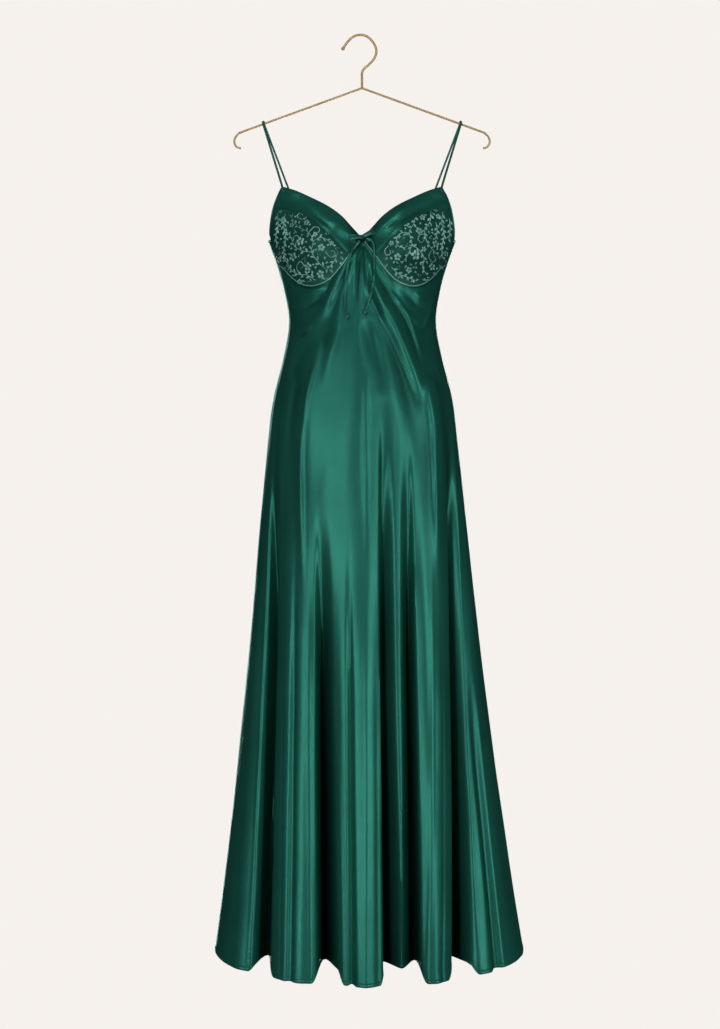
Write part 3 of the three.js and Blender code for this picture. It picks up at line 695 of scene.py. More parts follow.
# Bow: distance from the centre, how far it stands off the gown, and height, in metres
bow = {
    "knot": (0, 0.0035, -0.346),
    "knotRadius": 0.0042,
    "knotShape": (1.05, 0.8, 1),     # how much wider and shallower than a ball
    "pleats": 6,
    "pleatDepth": 0.07,
    "width": 0.0038,
    "tails": {
        "left": [
            (-0.0036, 0.0054, -0.3516), (-0.008, 0.0044, -0.358), (-0.014, 0.0038, -0.366),
            (-0.0185, 0.0034, -0.376), (-0.022, 0.0032, -0.388), (-0.024, 0.0032, -0.402),
            (-0.0255, 0.0032, -0.418), (-0.0265, 0.0032, -0.434), (-0.0268, 0.0032, -0.45),
            (-0.0258, 0.0032, -0.462), (-0.0235, 0.0032, -0.473),
        ],
        "right": [
            (0.0058, 0.0096, -0.3504), (0.0105, 0.009, -0.3506), (0.015, 0.008, -0.353),
            (0.0178, 0.0066, -0.359), (0.0188, 0.005, -0.369), (0.019, 0.0038, -0.382),
            (0.019, 0.0032, -0.396), (0.0186, 0.0032, -0.41), (0.017, 0.0032, -0.424),
            (0.014, 0.0032, -0.438), (0.0095, 0.0032, -0.452), (0.005, 0.0032, -0.464),
        ],
    },
    "tailLength": {"left": 0.128, "right": 0.126},
    # In millimetres: the knot at each tail's end, and how far the loops' feet lie off the gown
    "endKnot": {"shift": (0, -0.6, -0.6), "size": 2.6, "radius": 1.05},
    "loopFoot": 5.2,
    "loopThickness": 0.8,
    # How far each loop reaches, how wide its ribbon is and how far it stands open
    "loops": {
        "left": {"reach": (-22, -1.5, -1), "width": 9.5, "open": 4.2, "up": (0, 0.1, 1)},
        "right": {"reach": (21, 0.5, 11), "width": 9.0, "open": 4.0, "up": (-0.5, 0.2, 1)},
    },
}


# Rows of the bow's tables as points in millimetres, in front of the gown
def inFrontOfGown(rows):
    x, lift, z = np.array(rows, float).T / mm
    y = gownPoint(angleOf(x, z), z)[:, 1] - lift
    return np.stack([x, y, z], axis=1)


def sayPiece(item, slot, material, *nodes):
    item.data.materials.clear()
    item.data.materials.append(material)
    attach(item, "root")
    if nodes:
        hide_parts(*nodes)
    return item


# A small overhand knot round a point, of the same rouleau as the tail
def layKnot(name, middle, size, radius):
    turn = np.linspace(0.35, 2 * np.pi - 0.35, 60)
    around = np.stack([np.sin(turn) + 2 * np.sin(2 * turn), -np.sin(3 * turn),
                       np.cos(turn) - 2 * np.cos(2 * turn)], axis=1)
    return layTube(name, middle + around * (size / 3, size / 3, size / 2.4), radius, sides=8, flat=0.8)


def addTails():
    for side, rows in bow["tails"].items():
        path = smoothLine(inFrontOfGown(rows), 70)
        tail = layTube(f"{side}_tail_ribbon", path, bow["width"] / mm / 2, sides=16, flat=0.5, paintedEdgeLight=0.65)
        knot = layKnot(f"{side}_tail_knot", path[-1] + bow["endKnot"]["shift"],
                       bow["endKnot"]["size"], bow["endKnot"]["radius"])
        sayPiece(tail, "trim", ribbonSatin, f"bow_tail_{side}")
        sayPiece(knot, "trim", trimSatin)


# A flat ribbon along a path, its width standing in the direction of up, with painted shade over its middle
# that leaves its edges lighter as painted highlights
def layRibbon(name, path, width, thickness, up):
    tangents, ups, _ = frames(path, up)
    faces = np.cross(tangents, ups)
    across = np.array([-1, -0.93, -0.78, -0.5, 0, 0.5, 0.78, 0.93, 1])
    edge = 0.5 + 0.9 * np.exp(-((np.abs(across) - 0.86) / 0.1) ** 2)     # rolled edges stand proud
    outline = np.concatenate([np.stack([across, edge], 1), np.stack([across[::-1], -edge[::-1]], 1)])
    outline = np.vstack([outline, outline[:1]])
    spread = width[:, None, None] / 2 * outline[None, :, :1] * ups[:, None]
    points = path[:, None] + spread + thickness / 2 * outline[None, :, 1:] * faces[:, None]
    ends = [np.repeat(points[k].mean(axis=0)[None, None], len(outline), axis=1) for k in (0, -1)]
    points = np.concatenate([ends[0], points, ends[1]])
    # Painted shade over the ribbon's middle, leaving its edges light as painted highlights
    shade = np.tile(0.75 * (1 - np.abs(outline[:, 0]) ** 8), (len(points), 1))
    item = layGrid(name, points, closed=True, shade=shade)
    editAll(item, bpy.ops.mesh.normals_make_consistent, inside=False)
    return item


def addBow():
    for side, ribbon in bow["loops"].items():
        turn = np.linspace(0, np.pi, 40)
        reach = np.array(ribbon["reach"])
        middle = np.array(bow["knot"]) / mm * (1, 0, 1)
        start = gownPoint(angleOf(middle[0], middle[2]), middle[2]) - (0, bow["loopFoot"], 0)
        out = np.sin(turn)[:, None] ** 0.8 * reach
        path = start + out + np.cos(turn)[:, None] * (0, -ribbon["open"], 0)
        width = ribbon["width"] * (0.55 + 0.45 * np.sin(turn) ** 0.6)
        loop = layRibbon(f"{side}_loop_ribbon", path, width, bow["loopThickness"], ribbon["up"])
        sayPiece(loop, "trim", ribbonSatin, f"bow_loop_{side}")
    middle = inFrontOfGown([bow["knot"]])[0] * mm
    deselectAll()
    bpy.ops.mesh.primitive_uv_sphere_add(segments=28, ring_count=16, radius=bow["knotRadius"])
    knot = bpy.context.object
    knot.name = "centre_knot"
    knot.data.name = "centre_knot"
    points = cornersOf(knot)
    across = np.arctan2(points[:, 1], points[:, 0])
    towardsEnds = np.cos(points[:, 2] / bow["knotRadius"] * 1.3)
    pleat = 1 + bow["pleatDepth"] * np.cos(bow["pleats"] * across) * towardsEnds
    points[:, :2] *= pleat[:, None]
    points *= bow["knotShape"]
    knot.data.vertices.foreach_set("co", (points + middle).ravel())
    shadeSmooth(knot)
    sayPiece(knot, "trim", knotShadedSatin, "bow_knot")


addTails()
addBow()
print("bow tied")

bindingRoom = gown["bindingRadius"] + gown["seamGap"]
skirtTop = frontCurve(underbustLine, 0.6 * gown["pipingRadius"])


def backEdge(angle):
    return gown["armholeFoot"] - gown["backDip"] * (1 - np.cos(angle - np.pi / 2) ** 2)


# The skirt's top edge follows the piping and runs up under the bow's knot
def frontTop(angle):
    angles = skirtTop[::-1, 0] / gown["spread"]
    rise = 4.2 * np.exp(-(np.asarray(angle) / 0.05) ** 2)
    return np.interp(np.abs(angle), angles, skirtTop[::-1, 1]) + rise


# How dark the painted shade on the front gets: hollowDepth is the hollow, in millimetres, whose painted shade
# would be black
paintedShading = {"hollow": 0.6, "hollowDepth": 4, "cup": 0.75, "cupReach": 4}


# Average of a grid of values over the places around each, as far as nearby creases reach
def spreadOut(values, rows=2, columns=9):
    total = np.zeros(values.shape)
    padded = np.pad(values, ((rows, rows), (columns, columns)), mode="edge")
    for r in range(2 * rows + 1):
        for c in range(2 * columns + 1):
            total += padded[r:r + values.shape[0], c:c + values.shape[1]]
    return total / ((2 * rows + 1) * (2 * columns + 1))


# Columns follow the hollows, and rows run from the hem up, close together at the rolled hem and
# at the gathers under the cups
def skirtPoints(start, end, topEdge, columns, rows):
    seams = [(turn, turn) for turn in (-gown["sideSeam"], gown["sideSeam"], 360 - gown["sideSeam"])]
    hemStops, topStops = np.array(sorted(seams + [(hollow[2], hollow[1]) for hollow in hollows])).T
    hems = np.linspace(start, end, 2000)
    tops = np.interp(hems, hemStops, topStops)
    even = np.interp(np.linspace(start, end, columns), hems * 0.6 + tops * 0.4, hems)
    top = np.radians(np.interp(even, hemStops, topStops))
    hem = np.radians(even)
    # Rolled hem: how far each height above the edge stands out
    hemEdge = {0: -0.25, 1.0: 0.35, 2.2: 0.5, 3.6: 0.5, 4.8: 0.4, 5.4: -0.15, 6.2: 0, 8: 0}
    upper = topEdge(top)
    lower = hemHeight(hem)
    heights = [lower + rise for rise in hemEdge]
    lifts = list(hemEdge.values())
    for share in 1 - (1 - np.linspace(0, 1, rows)[1:]) ** 1.4:
        heights.append(between(lower + 8, upper, share))
        lifts.append(0)
    z = np.array(heights)
    angle = between(top, hem, foldShare(z))
    seam = np.minimum(np.arange(columns), np.arange(columns)[::-1])
    lift = np.array(lifts)[:, None] - 0.5 * np.exp(-(seam / 0.9) ** 2)
    # The points, with the painted shade at each
    return gownPoint(angle, z) + gownNormal(angle, z) * lift[..., None], skirtShadowPaint(angle, z, upper)


# Painted shade: darker in the folds and in the hollows between creases, with a painted shadow close under the
# cups
def skirtShadowPaint(angle, z, topEdge):
    across = ringAt(z)[0] * np.sin(angle)
    relief = softFoldRelief(across, z) + creaseRelief(across, z, frontCreases)
    front = np.cos(angle) > 0
    hollow = np.where(front, (spreadOut(relief) - relief) / paintedShading["hollowDepth"], 0)
    below = topEdge - z
    # Painted shadow just under the cups
    paintedCupShadow = np.where(front, paintedShading["cup"] * np.exp(-(below / paintedShading["cupReach"]) ** 2), 0)
    return np.clip(np.maximum(paintedFoldDarkness(angle, z), paintedCupShadow) + np.clip(hollow, 0, paintedShading["hollow"]), 0, 1)


def addSkirt():
    panels = {
        "skirt_front": (-gown["sideSeam"], gown["sideSeam"], frontTop, 232, 200, (0.72, 1.19), 0.72),
        "skirt_back": (gown["sideSeam"], 360 - gown["sideSeam"], lambda angle: backEdge(angle) - bindingRoom,
                       230, 150, (0.86, 1.2), 0.86),
    }
    inset = 0.08
    for name, (start, end, topEdge, columns, rows, flat, area) in panels.items():
        points, shade = skirtPoints(start + inset, end - inset, topEdge, columns, rows)
        panel = layGrid(name + "_satin", points, shade=shade)
        thicken(panel, gown["cloth"])
        sayPiece(panel, "satin", satin, name)
        print(name, "measures", sum(face.area for face in panel.data.polygons) / 2)


addSkirt()
print("skirt hung")


def patch(bottom, top, start, end, columns, rows):
    u = np.linspace(0, 1, columns)
    v = np.linspace(0, 1, rows)[:, None, None]
    low, high = bottom(u)[None], top(u)[None]
    left, right = start(v[:, 0, 0])[:, None], end(v[:, 0, 0])[:, None]
    across = u[None, :, None]
    corners = between(between(low[:, :1], low[:, -1:], across), between(high[:, :1], high[:, -1:], across), v)
    return between(low, high, v) + between(left, right, across) - corners


def straight(first, last):
    return lambda v: between(first[None], last[None], np.asarray(v)[:, None])


bodice = {
    "cupGrid": (84, 62),     # columns and rows
    "bandGrid": (110, 18),
    "swell": 0.7,            # how far a band's middle swells
    "puffShare": 0.7,        # share of the bandPuffs' heights that it takes
    # Painted shade over the bands: shade is its even share, and shadeMost the darkest it gets
    "shade": 0.24,
    "puffPaintedHighlight": 0.16,       # painted highlight: how much lighter a puff is painted for each millimetre
    "shadeMost": 0.85,
    "knotPaintedShadow": 0.6,        # painted shade: how much darker a band is painted beside the bow, and how near, in radians
    "knotReach": 0.17,
    "facing": 1.4,           # thicknesses of cloth in a band
    "pipingShare": 0.75,     # share of the piping's radius that the cord has
    "pipingSink": 0.3,
    "edgeSink": 0.5,         # how far the bindings sink into the edge, and more at their foot
    "footSink": 2,
}


# Outlines of one cup and band, in the pattern's coordinates of the right-hand side
def bodicePatterns():
    sideAngle = math.radians(gown["sideSeam"] - 0.1)
    halfGap = gown["seamGap"] / 2
    cupBottom = frontCurve(underbustLine, -0.6 * gown["pipingRadius"])
    cupTop = frontCurve(bandSeamLine, -gown["underlap"])
    bandBottom = frontCurve(bandSeamLine, -halfGap)
    neckline = frontCurve(necklineLine)
    armhole = frontCurve(armholeLine, -bindingRoom)
    seamAt = 0.42            # share of the armhole where the cup's top seam meets it
    cupEnd = 0.82            # share of the underbust line where the cup ends
    bend = 0.3               # share of the cup's outer border that lies below the armhole
    armholeEnd = min(crossing(armhole, sideAngle), 0.97)
    cupStart = crossing(cupBottom, sideAngle)
    onBottom = lambda u: placeOn(cupBottom, between(cupStart, cupEnd, u))
    onTop = lambda u: placeOn(cupTop, between(0.02, 0.995, u))
    foot, head = onBottom(0.0), onTop(0.0)
    sideTop = np.array([sideAngle, gown["armholeFoot"] - 3])
    miss = head - placeOn(armhole, seamAt)

    def cupOuter(v):
        v = np.asarray(v)
        share = np.clip((v - bend) / (1 - bend), 0, 1)[:, None]
        upper = placeOn(armhole, between(armholeEnd, seamAt, share[:, 0])) + miss * share
        lower = between(foot[None], sideTop[None], np.clip(v / bend, 0, 1)[:, None])
        return np.where(v[:, None] <= bend, lower, upper)

    cup = patch(onBottom, onTop, cupOuter, straight(onBottom(1.0), onTop(1.0)), *bodice["cupGrid"])
    seamShare = 0.86         # share of the band's foot that lies on the cup

    def bandFoot(u):
        u = np.asarray(u)
        first = placeOn(bandBottom, between(0.02, 0.995, np.clip(u / seamShare, 0, 1)))
        second = placeOn(cupBottom, between(cupEnd, 1, np.clip((u - seamShare) / (1 - seamShare), 0, 1)))
        return np.where((u <= seamShare)[..., None], first, second)

    bandHead = lambda u: placeOn(neckline, between(0.012, 1, u))
    ends = [straight(bandFoot(np.array([k]))[0], bandHead(np.array([k]))[0]) for k in (0.0, 1.0)]
    band = patch(bandFoot, bandHead, *ends, *bodice["bandGrid"])
    return cup, band


# Points over the gown from places of one side, in columns that run left to right
def sidePoints(places, side, lift=0.0):
    places = places[:, ::-1] if side > 0 else places
    angle = places[..., 0] * side
    z = places[..., 1]
    return gownPoint(angle, z) + gownNormal(angle, z) * np.asarray(lift)[..., None]


sides = {"left": -1, "right": 1}


def bandRelief(name, places):
    x = ringAt(places[..., 1])[0] * np.sin(places[..., 0])
    relief = np.zeros(x.shape)
    for x0, z0, length, width, heading, height in bandPuffs[name]:
        along = direction(heading)
        u = (x - x0) * along[0] + (places[..., 1] - z0) * along[1]
        v = (places[..., 1] - z0) * along[0] - (x - x0) * along[1]
        relief += height * np.exp(-(u / length) ** 2 - (v / width) ** 2)
    return relief


def addBodice():
    cup, band = bodicePatterns()
    underbust = frontCurve(underbustLine)
    rim = frontCurve(armholeLine)
    sideAngle = math.radians(gown["sideSeam"])
    rows = band.shape[0]
    edge = np.minimum(np.arange(rows), np.arange(rows)[::-1])[:, None]
    for name, side in sides.items():
        shell = layGrid(f"{name}_cup_satin", sidePoints(cup, side))
        thicken(shell, gown["cloth"])
        sayPiece(shell, "embroidered_satin", cupSatin, f"cup_{name}")
        relief = bandRelief(name, band)
        puff = gown["bandLift"] + bodice["swell"] * np.clip(edge / 2, 0, 1) + relief * bodice["puffShare"]
        # Painted shade on the band, darker beside the bow, with painted highlights on its puffs
        byKnot = np.exp(-(band[..., 0] / bodice["knotReach"]) ** 4)
        shade = np.clip(bodice["shade"] - relief * bodice["puffPaintedHighlight"] + bodice["knotPaintedShadow"] * byKnot,
                        0, bodice["shadeMost"])
        if side > 0:
            puff, shade = puff[:, ::-1], shade[:, ::-1]
        strip = layGrid(f"{name}_band_satin", sidePoints(band, side, puff), shade=shade)
        thicken(strip, gown["cloth"] * bodice["facing"])
        sayPiece(strip, "satin", satin, f"band_{name}")
        print(name, "cup and band measure", [sum(face.area for face in item.data.polygons) / 2
                                             for item in (shell, strip)])
        start = crossing(underbust, sideAngle)
        places = placeOn(underbust, np.linspace(start, 0.975, 130))
        cordPath = sidePoints(places[None], side, np.full((1, 130), -bodice["pipingSink"]))[0]
        piping = layTube(f"{name}_piping_cord", cordPath, gown["pipingRadius"] * bodice["pipingShare"])
        sayPiece(piping, "trim", pipingSatin, f"piping_{name}")
        places = placeOn(rim, np.linspace(0.02, 0.95, 66))
        turn = [[sideAngle + 0.002, backEdge(sideAngle) + 1.5], [sideAngle + 0.014, backEdge(sideAngle)]]
        spread = (gown["spread"], 1)
        places = smoothLine(np.vstack([places[::5], turn]) * spread, 70) / spread
        way = np.linspace(-1, 1, 70)
        sink = bodice["edgeSink"] + bodice["footSink"] * smooth(way, 0.72, 1)
        edgePath = sidePoints(places[None], side, -sink[None])[0]
        thinning = 1 - 0.45 * np.clip(-way, 0, 1) ** 8 - 0.6 * smooth(way, 0.7, 1)
        binding = layTube(f"{name}_armhole_edge", edgePath, gown["bindingRadius"], widths=thinning)
        sayPiece(binding, "satin", satin, f"binding_{name}")


addBodice()

# Embroidery, of an ordinary flower sprig in a layout of its own. Places are the distance from the
# centre front and the height. Stems: leaf spacing (0 for none), then the line they follow.
# Flowers: place, radius, turn. Berries: place, heading in degrees, count. Sprigs: place and
# heading. Sizes of a leaf or petal are its length, width and thickness.
embroidery = {
    "stem": 0.7,
    "leaf": (6.6, 0.5, 0.17),
    "leafTurn": 42,
    "petals": 5,
    "petal": (0.76, 0.72, 0.18),
    "berry": 1.6,
    "berryTurn": 28,
    "lift": 0.35,
    "pointed": 0.22,         # share of its width that a stitch loses at its ends
    # Leaves on each side of the middle one, degrees between them, and how much each is shorter
    "sprig": {"each": 2, "turn": 26, "away": 3.2, "leaf": (3.6, 1.0, 0.45), "shorter": 0.45},
    "filler": {"each": 1, "turn": 48, "away": 1.5, "leaf": (3.4, 1.5, 0.5), "shorter": 0},
    # Grid of the fillers, the line they keep inside at the cup's outer border, and the room they need
    "grid": {"rows": 18, "columns": 16, "corner": (34, -414), "step": (7.2, 6.6), "stagger": 3.6,
             "sway": 1.2, "margin": 5, "side": 140, "sideHeight": -300, "sideSlope": -0.05, "room": 4.4},
    "left": {
        "stems": [
            (6.5, [(56, -398), (68, -388), (79, -372), (77, -354), (86, -338), (101, -328), (112, -311)]),
            (6.0, [(77, -356), (66, -350), (54, -354), (43, -364)]),
            (0, [(84, -340), (75, -331), (67, -335), (70, -342), (76, -340)]),
            (6.0, [(80, -372), (94, -368), (107, -358), (113, -343), (121, -330)]),
            (5.5, [(74, -413), (87, -404), (101, -401), (113, -393), (121, -379), (132, -366)]),
            (0, [(100, -401), (104, -390), (98, -383), (93, -389), (97, -393)]),
            (0, [(113, -345), (104, -341), (100, -348), (106, -352)]),
            (4.2, [(123, -302), (126, -320), (122, -342), (126, -360), (122, -376)]),
            (4.6, [(137, -298), (135, -318), (139, -336), (136, -352)]),
            (0, [(58, -372), (50, -380), (43, -378), (44, -371), (50, -371)]),
            (5.0, [(38, -372), (46, -388), (58, -400)]),
            (0, [(95, -316), (103, -310), (100, -304), (94, -308)]),
        ],
        "flowers": [
            (98, -352, 8.0, 0.2), (64, -366, 6.4, 0.5), (110, -374, 7.4, 0.9), (66, -404, 6.6, 0.1),
            (88, -322, 5.6, 0.6), (126, -312, 4.8, 0.3), (134, -372, 5.0, 0.0), (86, -392, 7.0, 0.4),
            (74, -344, 4.4, 0.8), (100, -412, 4.4, 0.5), (48, -358, 4.2, 0.2), (112, -322, 4.6, 0.7),
        ],
        "berries": [
            (112, -309, 70, 5), (43, -366, 200, 5), (121, -328, 60, 4), (132, -364, 40, 4),
            (90, -378, 300, 5), (70, -380, 120, 4), (104, -336, 20, 4), (56, -412, 160, 4),
            (118, -388, 250, 5), (136, -330, 90, 4), (80, -412, 10, 5), (58, -344, 140, 4),
        ],
        "sprigs": [
            (110, -404, 100), (94, -415, 80), (62, -413, 110), (50, -402, 130), (124, -390, 70),
            (106, -306, 250), (92, -312, 240), (132, -294, 260), (34, -382, 140),
        ],
    },
    "right": {
        "stems": [
            (6.4, [(84, -306), (82, -324), (74, -340), (78, -358), (72, -376), (62, -390)]),
            (6.0, [(76, -342), (62, -342), (54, -352), (57, -364), (68, -366)]),
            (6.0, [(74, -362), (88, -366), (98, -378), (96, -392), (104, -402)]),
            (6.0, [(110, -300), (108, -318), (99, -332), (102, -350), (112, -362), (122, -368)]),
            (0, [(101, -340), (92, -342), (88, -350), (93, -355), (98, -350)]),
            (4.4, [(130, -298), (128, -316), (132, -336), (128, -354), (131, -372)]),
            (5.2, [(46, -394), (58, -404), (74, -409), (88, -413)]),
            (0, [(110, -364), (106, -374), (112, -381), (118, -376), (114, -371)]),
            (0, [(42, -362), (36, -368), (38, -376), (44, -375), (44, -369)]),
            (4.8, [(118, -316), (120, -332), (116, -346)]),
            (4.6, [(141, -306), (142, -324), (140, -342)]),
        ],
        "flowers": [
            (84, -376, 8.2, 0.5), (56, -380, 6.4, 0.2), (70, -326, 5.4, 0.1), (112, -388, 6.2, 0.6),
            (90, -336, 6.6, 0.9), (118, -352, 6.8, 0.3), (46, -358, 4.6, 0.7), (96, -312, 5.4, 0.4),
            (74, -398, 5.4, 0.8), (122, -306, 4.6, 0.2), (98, -364, 4.6, 0.0), (136, -362, 4.8, 0.5),
        ],
        "berries": [
            (84, -304, 100, 5), (68, -364, 20, 4), (60, -392, 230, 5), (105, -404, 300, 4),
            (123, -370, 330, 4), (110, -298, 90, 3), (50, -372, 170, 4), (104, -326, 40, 4),
            (88, -402, 320, 4), (126, -382, 280, 4), (66, -352, 100, 4), (106, -344, 10, 4),
        ],
        "sprigs": [
            (100, -412, 90), (116, -400, 75), (80, -417, 85), (60, -411, 110), (40, -394, 140),
            (128, -388, 60), (72, -314, 230), (100, -304, 250), (118, -294, 260),
        ],
    },
}


# Small sprigs in the room that the stems and flowers leave, on a staggered grid
def fillerSprigs(taken):
    grid = embroidery["grid"]
    lowX, lowZ = np.array(underbustLine[::-1]).T
    highX, highZ = np.array(bandSeamLine[::-1]).T
    sprigs = []
    for row in range(grid["rows"]):
        for column in range(grid["columns"]):
            x = grid["corner"][0] + grid["step"][0] * column + grid["stagger"] * (row % 2)
            x = x + grid["sway"] * math.sin(5 * row + 3 * column)
            z = grid["corner"][1] + grid["step"][1] * row + grid["sway"] * math.cos(4 * column + row)
            low = np.interp(x, lowX, lowZ) + grid["margin"]
            high = np.interp(x, highX, highZ) - grid["margin"]
            side = grid["side"] + (z - grid["sideHeight"]) * grid["sideSlope"]
            room = np.hypot(taken[:, 0] - x, taken[:, 1] - z).min()
            if low < z < high and x <= side and room > grid["room"]:
                sprigs.append((x, z, (row * 137 + column * 71) % 360))
    return sprigs


# Where a place on the cup lies, with its directions to the right, upwards and out of the cloth
def cupFrames(distance, z, side):
    angle = side * angleOf(distance, z)
    place = gownPoint(angle, z)
    out = gownNormal(angle, z)
    right = gownPoint(angle + 0.004, z) - gownPoint(angle - 0.004, z)
    right = right / np.linalg.norm(right, axis=-1, keepdims=True)
    return place, right, np.cross(out, right), out


# A padded stitch that points away from a place: distance, height, heading in degrees, and size
def stitchFrom(x, z, away, turn, size):
    return (x + away * math.cos(turn), z + away * math.sin(turn), math.degrees(turn), *size)


def sprigLeaves(x, z, heading, form):
    length, wide, thick = form["leaf"]
    return [stitchFrom(x, z, form["away"], math.radians(heading + form["turn"] * k),
                       (length - form["shorter"] * abs(k), wide, thick))
            for k in range(-form["each"], form["each"] + 1)]


# Rows of padded stitching: distance, height, heading in degrees, length, width and thickness
def stitchRows(chart):
    rows = []
    length, wide, thick = embroidery["leaf"]
    for spacing, line in chart["stems"]:
        if not spacing:
            continue
        path = smoothLine(line, 60)
        last = len(path) - 1
        run = np.linalg.norm(np.diff(path, axis=0), axis=1).sum()
        count = int(run / spacing)
        for k in range(1, count + 1):
            at = int(k / (count + 0.6) * last)
            step = path[min(at + 1, last)] - path[max(at - 1, 0)]
            turn = embroidery["leafTurn"] * (1 if k % 2 else -1)
            heading = math.degrees(math.atan2(step[1], step[0])) + turn
            size = length * (1.1 - 0.35 * k / count)
            rows.append((*(path[at] + direction(heading) * size * 0.6), heading,
                         size, size * wide, size * thick))
    petals = embroidery["petals"]
    long, wide, thick = embroidery["petal"]
    for x, z, radius, turn in chart["flowers"]:
        size = (radius * long, radius * wide, radius * thick * 0.6)
        rows += [stitchFrom(x, z, 0.58 * radius, turn + 2 * math.pi * k / petals, size)
                 for k in range(petals)]
        rows.append((x, z, 0, radius * 0.22, radius * 0.22, radius * 0.16))
    berry = embroidery["berry"]
    for x, z, heading, count in chart["berries"]:
        for k in range(count):
            swing = math.radians(heading + embroidery["berryTurn"] * (1 if k % 2 else -1))
            away = berry * (0.6 + 0.9 * k)
            size = berry * (1.08 - 0.08 * k)
            rows.append((x + away * math.cos(swing), z + away * math.sin(swing), 0, size, size, size * 0.6))
    for x, z, heading in chart["sprigs"]:
        rows += sprigLeaves(x, z, heading, embroidery["sprig"])
    stems = np.vstack([smoothLine(line, 40) for _, line in chart["stems"]])
    for x, z, heading in fillerSprigs(np.vstack([np.array(rows)[:, :2], stems])):
        rows += sprigLeaves(x, z, heading, embroidery["filler"])
    return np.array(rows)


# One padded stitch is modelled as a pointed pillow, then repeated over all the rows
def layStitches(name, rows, side):
    deselectAll()
    bpy.ops.mesh.primitive_uv_sphere_add(segments=10, ring_count=6, radius=1,
                                         rotation=(0, math.pi / 2, 0))
    pillow = bpy.context.object
    bpy.ops.object.transform_apply(rotation=True)
    corners = cornersOf(pillow)
    corners[:, 1] *= 1 - embroidery["pointed"] * corners[:, 0] ** 2
    faces = [list(face.vertices) for face in pillow.data.polygons]
    bpy.data.objects.remove(pillow)
    place, right, up, out = cupFrames(rows[:, 0], rows[:, 1], side)
    heading = np.radians(rows[:, 2])[:, None]
    along = side * np.cos(heading) * right + np.sin(heading) * up
    aside = np.cross(out, along)
    half = rows[:, 3:6] * (0.5, 0.5, 1)
    points = (place + out * embroidery["lift"])[:, None] + sum(
        corners[None, :, n, None] * half[:, None, n, None] * axis[:, None]
        for n, axis in enumerate((along, aside, out)))
    mesh = bpy.data.meshes.new(name)
    total = len(corners)
    mesh.from_pydata((points.reshape(-1, 3) * mm).tolist(), [],
                     [[corner + total * k for corner in face] for k in range(len(rows)) for face in faces])
    uvs = mesh.uv_layers.new(name="UVMap").data
    flat = np.tile(corners[:, :2], (len(rows), 1)) * np.repeat(half[:, :2], total, axis=0) * mm
    loops = np.empty(len(mesh.loops), int)
    mesh.loops.foreach_get("vertex_index", loops)
    uvs.foreach_set("uv", flat[loops].ravel())
    item = bpy.data.objects.new(name, mesh)
    bpy.context.collection.objects.link(item)
    return shadeSmooth(item)


def addThread():
    material = newMaterial("mint_thread", **threadLook)
    shader = material.node_tree.nodes["Principled BSDF"]
    place = addNode(material, "ShaderNodeTexCoord")
    tones = driftingTones(material, place, (0.16, 0.52, 0.42), (0.5, 0.9, 0.78), (0.35, 0.65),
                          Scale=60.0, Detail=3.0)
    strand = 0.00035
    strands = addNode(material, "ShaderNodeTexWave", wave_type="BANDS", bands_direction="X",
                      Scale=waveLength / strand, Distortion=0.8)
    bump = addNode(material, "ShaderNodeBump", Strength=0.7, Distance=0.00012)
    link(material, tones, "Color", shader, "Base Color")
    link(material, place, "UV", strands, "Vector")
    link(material, strands, "Fac", bump, "Height")
    link(material, bump, "Normal", shader, "Normal")
    return material


def addEmbroidery():
    thread = addThread()
    for name, side in sides.items():
        chart = embroidery[name]
        pieces = [layStitches(f"{name}_embroidery", stitchRows(chart), side)]
        for number, (_, line) in enumerate(chart["stems"]):
            path = smoothLine(line, 8 * len(line))
            place, _, _, out = cupFrames(path[:, 0], path[:, 1], side)
            fade = 0.45 + 0.55 * np.sin(np.linspace(0.25, np.pi * 0.96, len(path))) ** 0.5
            pieces.append(layTube(f"{name}_stem_{number}", place + out * embroidery["lift"],
                                  embroidery["stem"], sides=6, widths=fade, first=(0, -1, 0.2)))
        sewn = joinAll(pieces, f"{name}_embroidery")
        sayPiece(sewn, "embroidered_satin", thread)


addEmbroidery()
print("cups embroidered")


def addBackBinding():
    start = math.radians(gown["sideSeam"]) + 0.012
    angle = np.linspace(start, 2 * np.pi - start, 200)
    z = backEdge(angle)
    path = gownPoint(angle, z) - gownNormal(angle, z) * bodice["edgeSink"]
    binding = layTube("back_edge", path, gown["bindingRadius"])
    sayPiece(binding, "satin", satin, "binding_back")


addBackBinding()
print("bodice sewn")

hanger = {
    "peak": -85.5,           # height of the arms' middle
    "end": (194.5, -156.5),  # where each arm's curl begins
    "armPlaces": (6, 100),   # where else the straight arm is laid, and how deep the bend at the peak
    "bendDrop": 0.6,
    "armRadius": 1.65,
    "hookRadius": 1.9,
    "tipRadius": 2.9,
    "tip": (-31.2, 0, -20.8),
    "curl": [(199.3, -158.6), (203.6, -161.5), (207, -165.2), (209, -169.8), (209.3, -174.8),
             (207.6, -179.4), (203.8, -182.8), (198.8, -184.2)],
    "hook": [(-30.7, -19.9), (-22.3, -8), (-12.8, -0.4), (-1.8, 1.9), (7.4, -0.4), (16.4, -8), (22, -17.5),
             (23.5, -26.5), (20.2, -36.5), (12.1, -46), (3, -54.2), (0, -61), (0, -70), (0, -84.15)],
}
armSlope = math.atan2(hanger["peak"] - hanger["end"][1], hanger["end"][0])


def armHeight(x):
    return hanger["peak"] + (hanger["end"][1] - hanger["peak"]) * x / hanger["end"][0]


